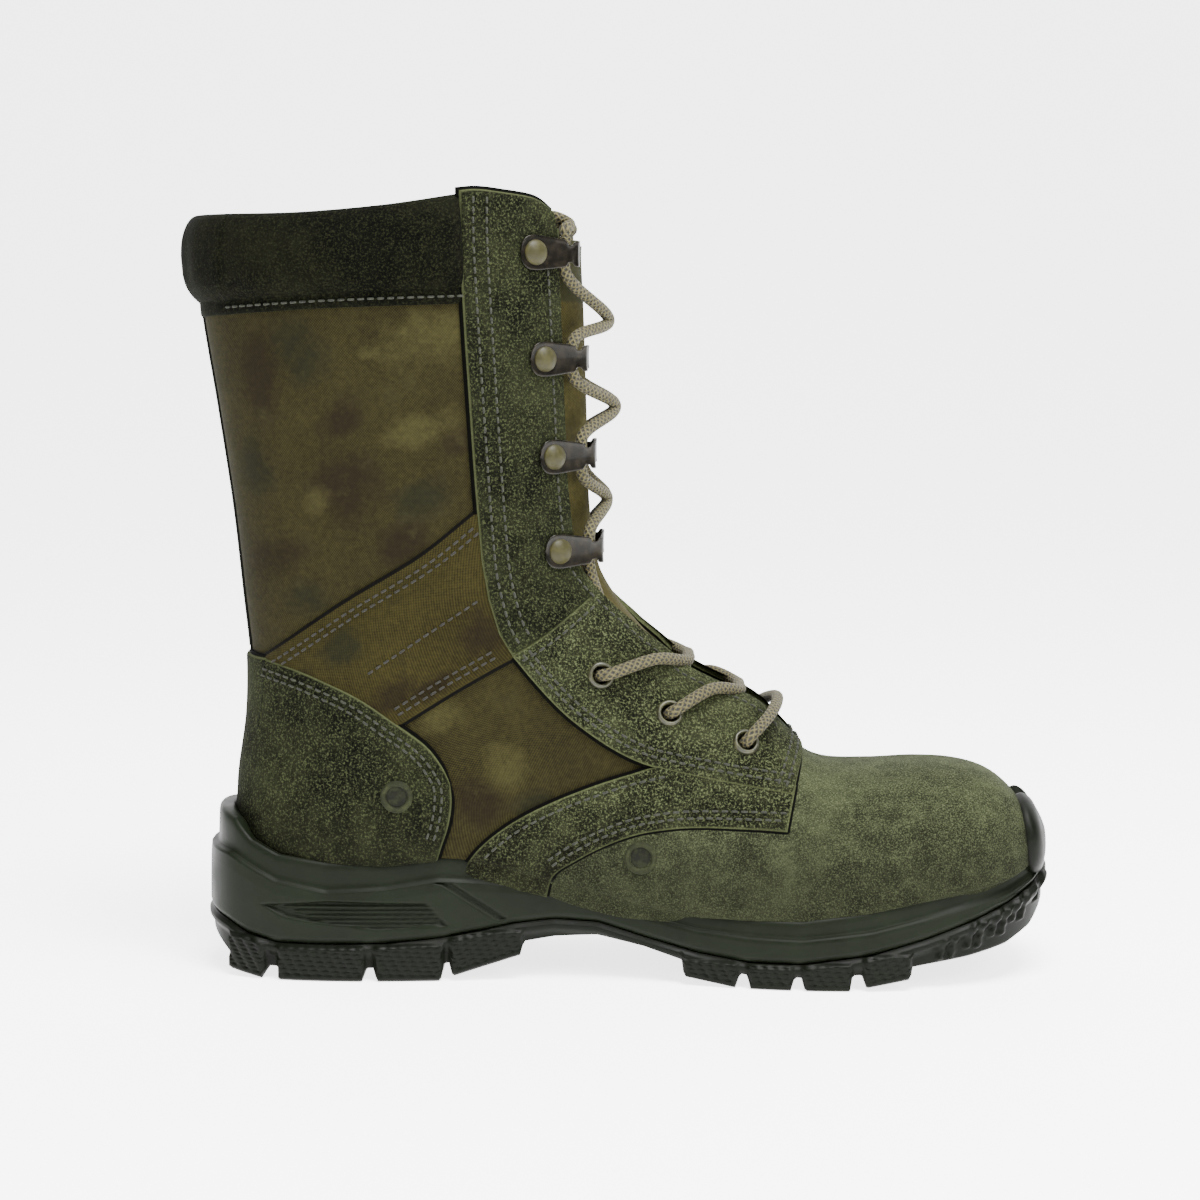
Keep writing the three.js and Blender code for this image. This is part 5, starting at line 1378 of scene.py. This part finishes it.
def strand_path(first):
    """One strand's points: round the hook necks from side to side, then out through the eyelets, to the last bar."""
    points, sign = [], first
    for i, hook in enumerate(HOOKS):
        points += neck_points(hook, sign)
        if i < len(HOOK_CROSSINGS):
            points.append(over_last(HOOK_CROSSINGS[i][0], 0.0, HOOK_CROSSINGS[i][1]))
            sign = -sign
    edge_row = 4.8
    for i, eyelet in enumerate(EYELETS):
        last_one = i == len(EYELETS) - 1
        next_row = LAST_BAR[0] if last_one else EYELET_CROSSINGS[i + 1][0]
        points += eyelet_run(eyelet, sign, edge_row, next_row)
        if not last_one:
            half = float(throat_angle(next_row))
            points.append(over_last(next_row, sign * half * 0.75, 2.2))
            points.append(over_last(next_row, 0.0, EYELET_CROSSINGS[i + 1][1] - 1.2))
            sign = -sign
            edge_row = next_row
    points.append(over_last(LAST_BAR[0], 0.0, LAST_BAR[1]))
    return np.array(points), sign


def tube(name, path, radius, sides=LACE_SIDES, step=LACE_STEP):
    """A round cord along a smooth path, its map in shares round it and millimetres along it."""
    path = centripetal(path, step)
    count = len(path)
    tangent = np.gradient(path, axis=0)
    tangent /= np.linalg.norm(tangent, axis=1, keepdims=True)
    frames = np.empty((count, 3))
    side = np.cross(tangent[0], [0.0, 0.0, 1.0])
    for i in range(count):
        side = side - tangent[i] * (side @ tangent[i])
        side /= np.linalg.norm(side)
        frames[i] = side
    other = np.cross(tangent, frames)
    turn = np.linspace(0, 2 * math.pi, sides + 1)
    around = frames[:, None] * np.cos(turn)[None, :, None] + other[:, None] * np.sin(turn)[None, :, None]
    points = path[:, None] + around * radius
    gone = np.concatenate([[0], np.cumsum(np.linalg.norm(np.diff(path, axis=0), axis=1))])
    uv = np.stack(np.broadcast_arrays(turn[None] / (2 * math.pi), gone[:, None]), axis=-1)
    centre = np.stack([path[0], path[-1]])
    total = count * (sides + 1)
    ring = np.arange(sides)
    first = np.stack([ring + 1, ring, np.full_like(ring, total), np.full_like(ring, total)], axis=-1)
    final = np.stack([ring, ring + 1, np.full_like(ring, total + 1), np.full_like(ring, total + 1)], axis=-1)
    final[:, :2] += (count - 1) * (sides + 1)
    faces = np.concatenate([grid_faces(count, sides + 1)[:, ::-1], first[:, ::-1], final[:, ::-1]])
    obj = put_mesh(name, np.concatenate([points.reshape(-1, 3), centre]), faces)
    add_uv(obj, np.concatenate([uv.reshape(-1, 2), [[0, 0], [0, gone[-1]]]]))
    weld(obj, turn_out=True)
    return obj, path


def centripetal(points, step):
    """A centripetal Catmull-Rom curve through the points, evenly spaced at about the step."""
    points = np.asarray(points, float)
    points = np.concatenate([[2 * points[0] - points[1]], points, [2 * points[-1] - points[-2]]])
    knots = np.concatenate([[0], np.cumsum(np.linalg.norm(np.diff(points, axis=0), axis=1) ** 0.5)])
    dense = []
    for i in range(len(points) - 3):
        p, t = points[i:i + 4], knots[i:i + 4]
        at = np.linspace(t[1], t[2], 30, endpoint=False)[:, None]
        a = [(p[k] * (t[k + 1] - at) + p[k + 1] * (at - t[k])) / (t[k + 1] - t[k]) for k in range(3)]
        b = [(a[k] * (t[k + 2] - at) + a[k + 1] * (at - t[k])) / (t[k + 2] - t[k]) for k in range(2)]
        dense.append((b[0] * (t[2] - at) + b[1] * (at - t[1])) / (t[2] - t[1]))
    dense = np.concatenate(dense + [points[-2:-1]])
    length = np.linalg.norm(np.diff(dense, axis=0), axis=1).sum()
    return resample(dense, max(int(length / step), 8))


LACE_END = np.array([(0.433, 0.225, 1.995), (0.412, 0.235, 2.012), (0.39, 0.24, 1.99), (0.376, 0.24, 1.94), (0.37, 0.24, 1.87)])


def make_laces(cord_finish):
    near, sign = strand_path(-1)
    far, _ = strand_path(1)
    path = np.concatenate([near, far[-2::-1]])
    lace, _ = tube("lace_crossings", path, LACE_RADIUS)
    dress(lace, cord_finish, ["lace"])
    for sign in (-1, 1):
        neck = neck_points(HOOKS[0], sign)[0]
        rest = np.stack([LACE_END[:, 0] * LENGTH, sign * LACE_END[:, 1] * SHAFT_WIDTH, level_height(LACE_END[:, 2])], axis=-1)
        points = np.concatenate([[neck + [0, 0, 0.3], neck + [0, 0, 2.4]], rest])
        name = f"lace_end_{side_name(sign)}"
        end, line = tube(f"{name}_cord", points, LACE_RADIUS)
        dress(end, cord_finish, [name])


STITCH_LENGTH = 2.5
STITCH_PITCH = 3.4
STITCH_RADIUS = 0.42
# Rows of stitches along the panels' borders: border, distances to the right of its way, height over the boot
STITCH_ROWS = (
    ("counter_top", (3.2, 5.6), 2.2),
    ("wing_low", (-3.0, -5.4), 1.8),
    ("wing_high", (3.2,), 1.8),
    ("eyestay_low", (-3.0, -5.4), 2.7),
    ("eyestay_front", (-3.2, -6.2), 2.7),
    ("facing_back", (-4.2, -8.6), 2.5),
    ("facing_foot", (3.2,), 2.7),
    ("strap_high", (3.0, 5.4), 1.3),
    ("strap_low", (-3.0, -5.4), 1.3),
    ("strap_middle", (0.0,), 1.3),
    ("cuff_low", (-2.6,), 1.35),
)
STITCH_BORDERS = {
    "counter_top": np.concatenate([COUNTER_TOP, COUNTER_FRONT[1:4]]),
    "wing_low": WING_LOW[1:],
    "wing_high": WING_HIGH[1:7],
    "eyestay_low": EYESTAY_LOW,
    "eyestay_front": EYESTAY_FRONT,
    "facing_back": FACING_BACK,
    "facing_foot": FACING_FOOT,
    "strap_high": STRAP_HIGH[1:5],
    "strap_low": STRAP_LOW[1:4],
    "strap_middle": np.array([(59.4, 107.4), (80.0, 121.5), (101.0, 135.4)]),
    "cuff_low": CUFF_LOW,
}
STITCH_THREADS = {"strap_high": "tan", "strap_low": "tan", "strap_middle": "tan", "cuff_low": "suede"}


def set_in(points, distance):
    """A side-view curve moved to the left of its own way by a distance."""
    slope = np.gradient(points, axis=0)
    slope /= np.linalg.norm(slope, axis=1, keepdims=True)
    return points + np.stack([-slope[:, 1], slope[:, 0]], axis=-1) * distance


def stitches_along(points, lift, sign):
    """The ends of each stitch of a side-view row, and the boot's normals there."""
    dense = smooth_curve(points, 400)
    row, angle = find_on_last(dense[:, 0], dense[:, 1], sign)
    surface = boot_point(row, sign * angle, np.full(len(row), lift))
    normal = last_normal(row, sign * angle)
    gone = np.concatenate([[0], np.cumsum(np.linalg.norm(np.diff(surface, axis=0), axis=1))])
    starts = np.arange(STITCH_PITCH / 2, gone[-1] - STITCH_LENGTH, STITCH_PITCH)
    pick = lambda at, values: np.stack([np.interp(at, gone, values[:, k]) for k in range(3)], axis=-1)
    return pick(starts, surface), pick(starts + STITCH_LENGTH, surface), pick(starts, normal)


def throat_stitches(first_row, end_row, widen, lift, sign):
    """A row of stitches beside the throat's edge."""
    curve = throat_curve(first_row, end_row, sign, 300, widen)
    surface = boot_point(curve[:, 0], curve[:, 1], np.full(300, lift))
    normal = last_normal(curve[:, 0], curve[:, 1])
    gone = np.concatenate([[0], np.cumsum(np.linalg.norm(np.diff(surface, axis=0), axis=1))])
    starts = np.arange(STITCH_PITCH / 2, gone[-1] - STITCH_LENGTH, STITCH_PITCH)
    pick = lambda at, values: np.stack([np.interp(at, gone, values[:, k]) for k in range(3)], axis=-1)
    return pick(starts, surface), pick(starts + STITCH_LENGTH, surface), pick(starts, normal)


def put_stitches(name, rows, thread):
    """All the stitches of one thread as one mesh: spindles that dip into the cloth at both ends."""
    start, end, normal = (np.concatenate(part) for part in zip(*rows))
    way = end - start
    across = np.cross(way, normal)
    across /= np.linalg.norm(across, axis=1, keepdims=True)
    share = np.array([0.0, 0.12, 0.35, 0.65, 0.88, 1.0])
    width = STITCH_RADIUS * np.array([0.35, 0.85, 1.0, 1.0, 0.85, 0.35])
    lift = np.array([-0.35, 0.12, 0.3, 0.3, 0.12, -0.35])
    turn = np.linspace(0, 2 * math.pi, 6, endpoint=False)
    centre = start[:, None] + way[:, None] * share[None, :, None] + normal[:, None] * lift[None, :, None]
    ring = (across[:, None, None] * np.cos(turn)[:, None] + normal[:, None, None] * np.sin(turn)[:, None])
    points = centre[:, :, None] + ring * width[None, :, None, None]
    one = grid_faces(len(share), len(turn), closed_columns=True)
    size = len(share) * len(turn)
    faces = (one[None] + np.arange(len(start))[:, None, None] * size).reshape(-1, 4)
    obj = put_mesh(name, points.reshape(-1, 3), faces)
    obj.data.materials.append(thread)
    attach(obj, "root")


def make_stitches(threads):
    rows = {name: [] for name in threads}
    for border, distances, lift in STITCH_ROWS:
        for distance in distances:
            curve = set_in(smooth_curve(STITCH_BORDERS[border], 60), -distance)
            for sign in (-1, 1):
                rows[STITCH_THREADS.get(border, "suede")].append(stitches_along(curve, lift, sign))
    for sign in (-1, 1):
        rows["suede"].append(throat_stitches(0.6, 11.8, 5.0, 2.6, sign))
    for name, thread in threads.items():
        put_stitches(f"{name}_stitches", rows[name], thread)


def thread_finish(name, dark, pale):
    made = Finish(name)
    fuzz = made.noise(0.5, 2.0)
    return made.finish(made.mix(made.ramp(fuzz, 0.35, 0.65), dark, pale), 0.9, [(fuzz, 0.3, 0.1)])


def rough_metal_finish(name, base, worn, metallic, rough, coat=0.0, shine=0.5):
    made = Finish(name, Metallic=metallic, Coat_Weight=coat, Specular_IOR_Level=shine)
    cloud = made.noise(3.0, 4.0, 0.65)
    fine = made.noise(0.6, 3.0, 0.6)
    tone = made.mix(made.ramp(cloud, 0.45, 0.62), base, worn)
    return made.finish(tone, made.ramp(cloud, 0.3, 0.7, rough, rough + 0.14), [(fine, 0.12, 0.1)])


def lace_finish(name):
    """A round braid: two families of strands crossing, with darker flecks in the weave."""
    made = Finish(name)
    uv = made.node("ShaderNodeUVMap", {"uv_map": "surface"})
    parts = made.node("ShaderNodeSeparateXYZ", values={"Vector": uv})
    along = Value(made.tree, parts.socket.node.outputs[1])
    right = (parts * (2 * math.pi * 6) + along * 2.9).math("SINE")
    left = (parts * (2 * math.pi * 6) - along * 2.9).math("SINE")
    over = right.math("MAXIMUM", left)
    fleck = (parts * (2 * math.pi * 3) + along * 1.45).math("SINE")
    fine = made.noise(0.35, 2.0)
    base = made.mix(made.ramp(over + fine * 0.6, 0.0, 1.3), (0.07, 0.062, 0.025), (0.29, 0.268, 0.14))
    base = made.mix(made.ramp(fleck * left, 0.45, 0.8) * 0.75, base, (0.06, 0.058, 0.028))
    return made.finish(base, 0.85, [(over, 0.8, 0.45), (fine, 0.3, 0.1)])


KHAKI_DARK = (0.04, 0.036, 0.014)
KHAKI = (0.165, 0.154, 0.075)
CAMO_TINTS = (("brown", (0.085, 0.064, 0.033)), ("green", (0.082, 0.088, 0.046)), ("pale", (0.195, 0.186, 0.097)))


def main():
    make_camera()
    suede = suede_finish("suede")
    # A lighter copy of the suede for the vamp: painted light on the toe's top, and a finer grain
    vamp_suede_painted_light = suede_finish("vamp_suede_painted_light", (0.075, 0.083, 0.052), (0.175, 0.19, 0.128), (0.28, 0.303, 0.212), 0.7)
    # A darker copy of the suede for the facings and the counter: painted shade
    shaft_suede_painted_shade = suede_finish("shaft_suede_painted_shade", (0.014, 0.016, 0.008), (0.065, 0.072, 0.041), (0.2, 0.217, 0.138))
    # A darker copy still of the suede for the cuff roll: painted shade
    cuff_suede_painted_shade = suede_finish("cuff_suede_painted_shade", (0.007, 0.008, 0.004), (0.026, 0.029, 0.015), (0.1, 0.108, 0.062))
    canvas = cloth_finish("canvas", KHAKI_DARK, KHAKI, 0.5, CAMO_TINTS)
    webbing = cloth_finish("strap_canvas", (0.062, 0.055, 0.018), (0.172, 0.158, 0.066), 0.5, CAMO_TINTS[:2])
    lining = cloth_finish("lining", (0.16, 0.17, 0.12), (0.27, 0.28, 0.2), 0.9)
    tongue = cloth_finish("tongue_canvas", (0.055, 0.05, 0.018), (0.24, 0.223, 0.1), 0.5, (("tab", (0.105, 0.115, 0.055)),))
    black = cloth_finish("back_webbing", (0.02, 0.02, 0.015), (0.07, 0.07, 0.055), 0.7)
    sock = cloth_finish("insole_cloth", (0.1, 0.1, 0.09), (0.2, 0.2, 0.17), 0.9)
    side_rubber = rubber_finish("midsole_rubber", (0.034, 0.05, 0.02), (0.054, 0.072, 0.036))
    tread_rubber = rubber_finish("outsole_rubber", (0.016, 0.024, 0.008), (0.03, 0.04, 0.018))
    bronze = rough_metal_finish("hook_bronze", (0.05, 0.041, 0.022), (0.1, 0.083, 0.048), 0.6, 0.26, 0.2, 0.3)
    olive = rough_metal_finish("rivet_olive", (0.14, 0.133, 0.042), (0.175, 0.166, 0.06), 0.0, 0.45, 0.0, 0.2)
    brass = rough_metal_finish("eyelet_olive", (0.13, 0.132, 0.07), (0.22, 0.22, 0.13), 0.4, 0.4, 0.1)
    screen = rough_metal_finish("vent_screen", (0.045, 0.05, 0.026), (0.1, 0.11, 0.06), 0.0, 0.6, 0.0, 0.1)
    vent_ring = rough_metal_finish("vent_olive", (0.09, 0.1, 0.052), (0.14, 0.154, 0.088), 0.0, 0.7, 0.0, 0.1)
    cord_finish = lace_finish("lace_braid")

    make_laces(cord_finish)
    make_skin(canvas, lining)
    make_vamp(vamp_suede_painted_light)
    make_counter(shaft_suede_painted_shade)
    for sign in (-1, 1):
        make_side_panels(sign, suede, shaft_suede_painted_shade, webbing)
        for index in range(len(HOOKS)):
            make_hook(HOOKS[index], sign, index, bronze, olive)
        for index in range(len(EYELETS)):
            make_eyelet(EYELETS[index], sign, index, brass)
    make_cuff(cuff_suede_painted_shade)
    make_back_strip(black)
    make_tongue(tongue)
    make_insole(sock)
    for index in range(len(VENTS)):
        make_vent(index, vent_ring, screen)
    make_stitches({
        "suede": thread_finish("suede_thread", (0.02, 0.022, 0.01), (0.13, 0.14, 0.08)),
        "tan": thread_finish("tan_thread", (0.03, 0.027, 0.008), (0.085, 0.076, 0.028)),
    })
    make_midsole(side_rubber)
    make_outsole(tread_rubber)
    make_bumper(tread_rubber)
    make_studio()


# Floor that sweeps up behind the boot: half width, flat depths before and behind, radius and height in mm
SWEEP_HALF = 6000.0
SWEEP_FRONT = -3500.0
SWEEP_BACK = 1500.0
SWEEP_RADIUS = 1600.0
SWEEP_TOP = 5000.0
SWEEP_STEPS = 24
FLOOR_GLOW = 3.0
# Lights: place and aim in mm of the last's frame, width in metres, power
LIGHTS = (
    ("top_light", (330, -380, 1400), (150, 0, 60), 0.8, 72.0),
    ("key_light", (-500, -1100, 900), (120, 0, 110), 0.6, 8.0),
    ("front_light", (900, -900, 900), (170, 0, 80), 0.6, 20.0),
)


def make_studio():
    """A plain white floor and backdrop, and soft light mostly from above."""
    world = bpy.data.worlds.new("studio")
    bpy.context.scene.world = world
    world.use_nodes = True
    sky = world.node_tree.nodes["Background"]
    sky.inputs["Color"].default_value = (1, 1, 1, 1)
    sky.inputs["Strength"].default_value = 0.16
    turn = np.linspace(0, math.pi / 2, SWEEP_STEPS)
    depth = np.concatenate([[SWEEP_FRONT], SWEEP_BACK + SWEEP_RADIUS * np.sin(turn), [SWEEP_BACK + SWEEP_RADIUS]])
    height = np.concatenate([[0.0], SWEEP_RADIUS * (1 - np.cos(turn)), [SWEEP_TOP]])
    sweep = np.stack([np.stack([np.full(len(depth), side), depth, height], axis=-1)
                      for side in (SWEEP_HALF, -SWEEP_HALF)])
    floor = put_mesh("floor", sweep.reshape(-1, 3), grid_faces(*sweep.shape[:2])[:, ::-1])
    white = Finish("floor_white", Emission_Strength=FLOOR_GLOW, Emission_Color=(1.0, 1.0, 1.0, 1.0))
    floor.data.materials.append(white.finish((0.98, 0.98, 0.98), 0.9, []))
    for name, place, aim, spread, power in LIGHTS:
        make_light(name, place, aim, spread, power)


main()
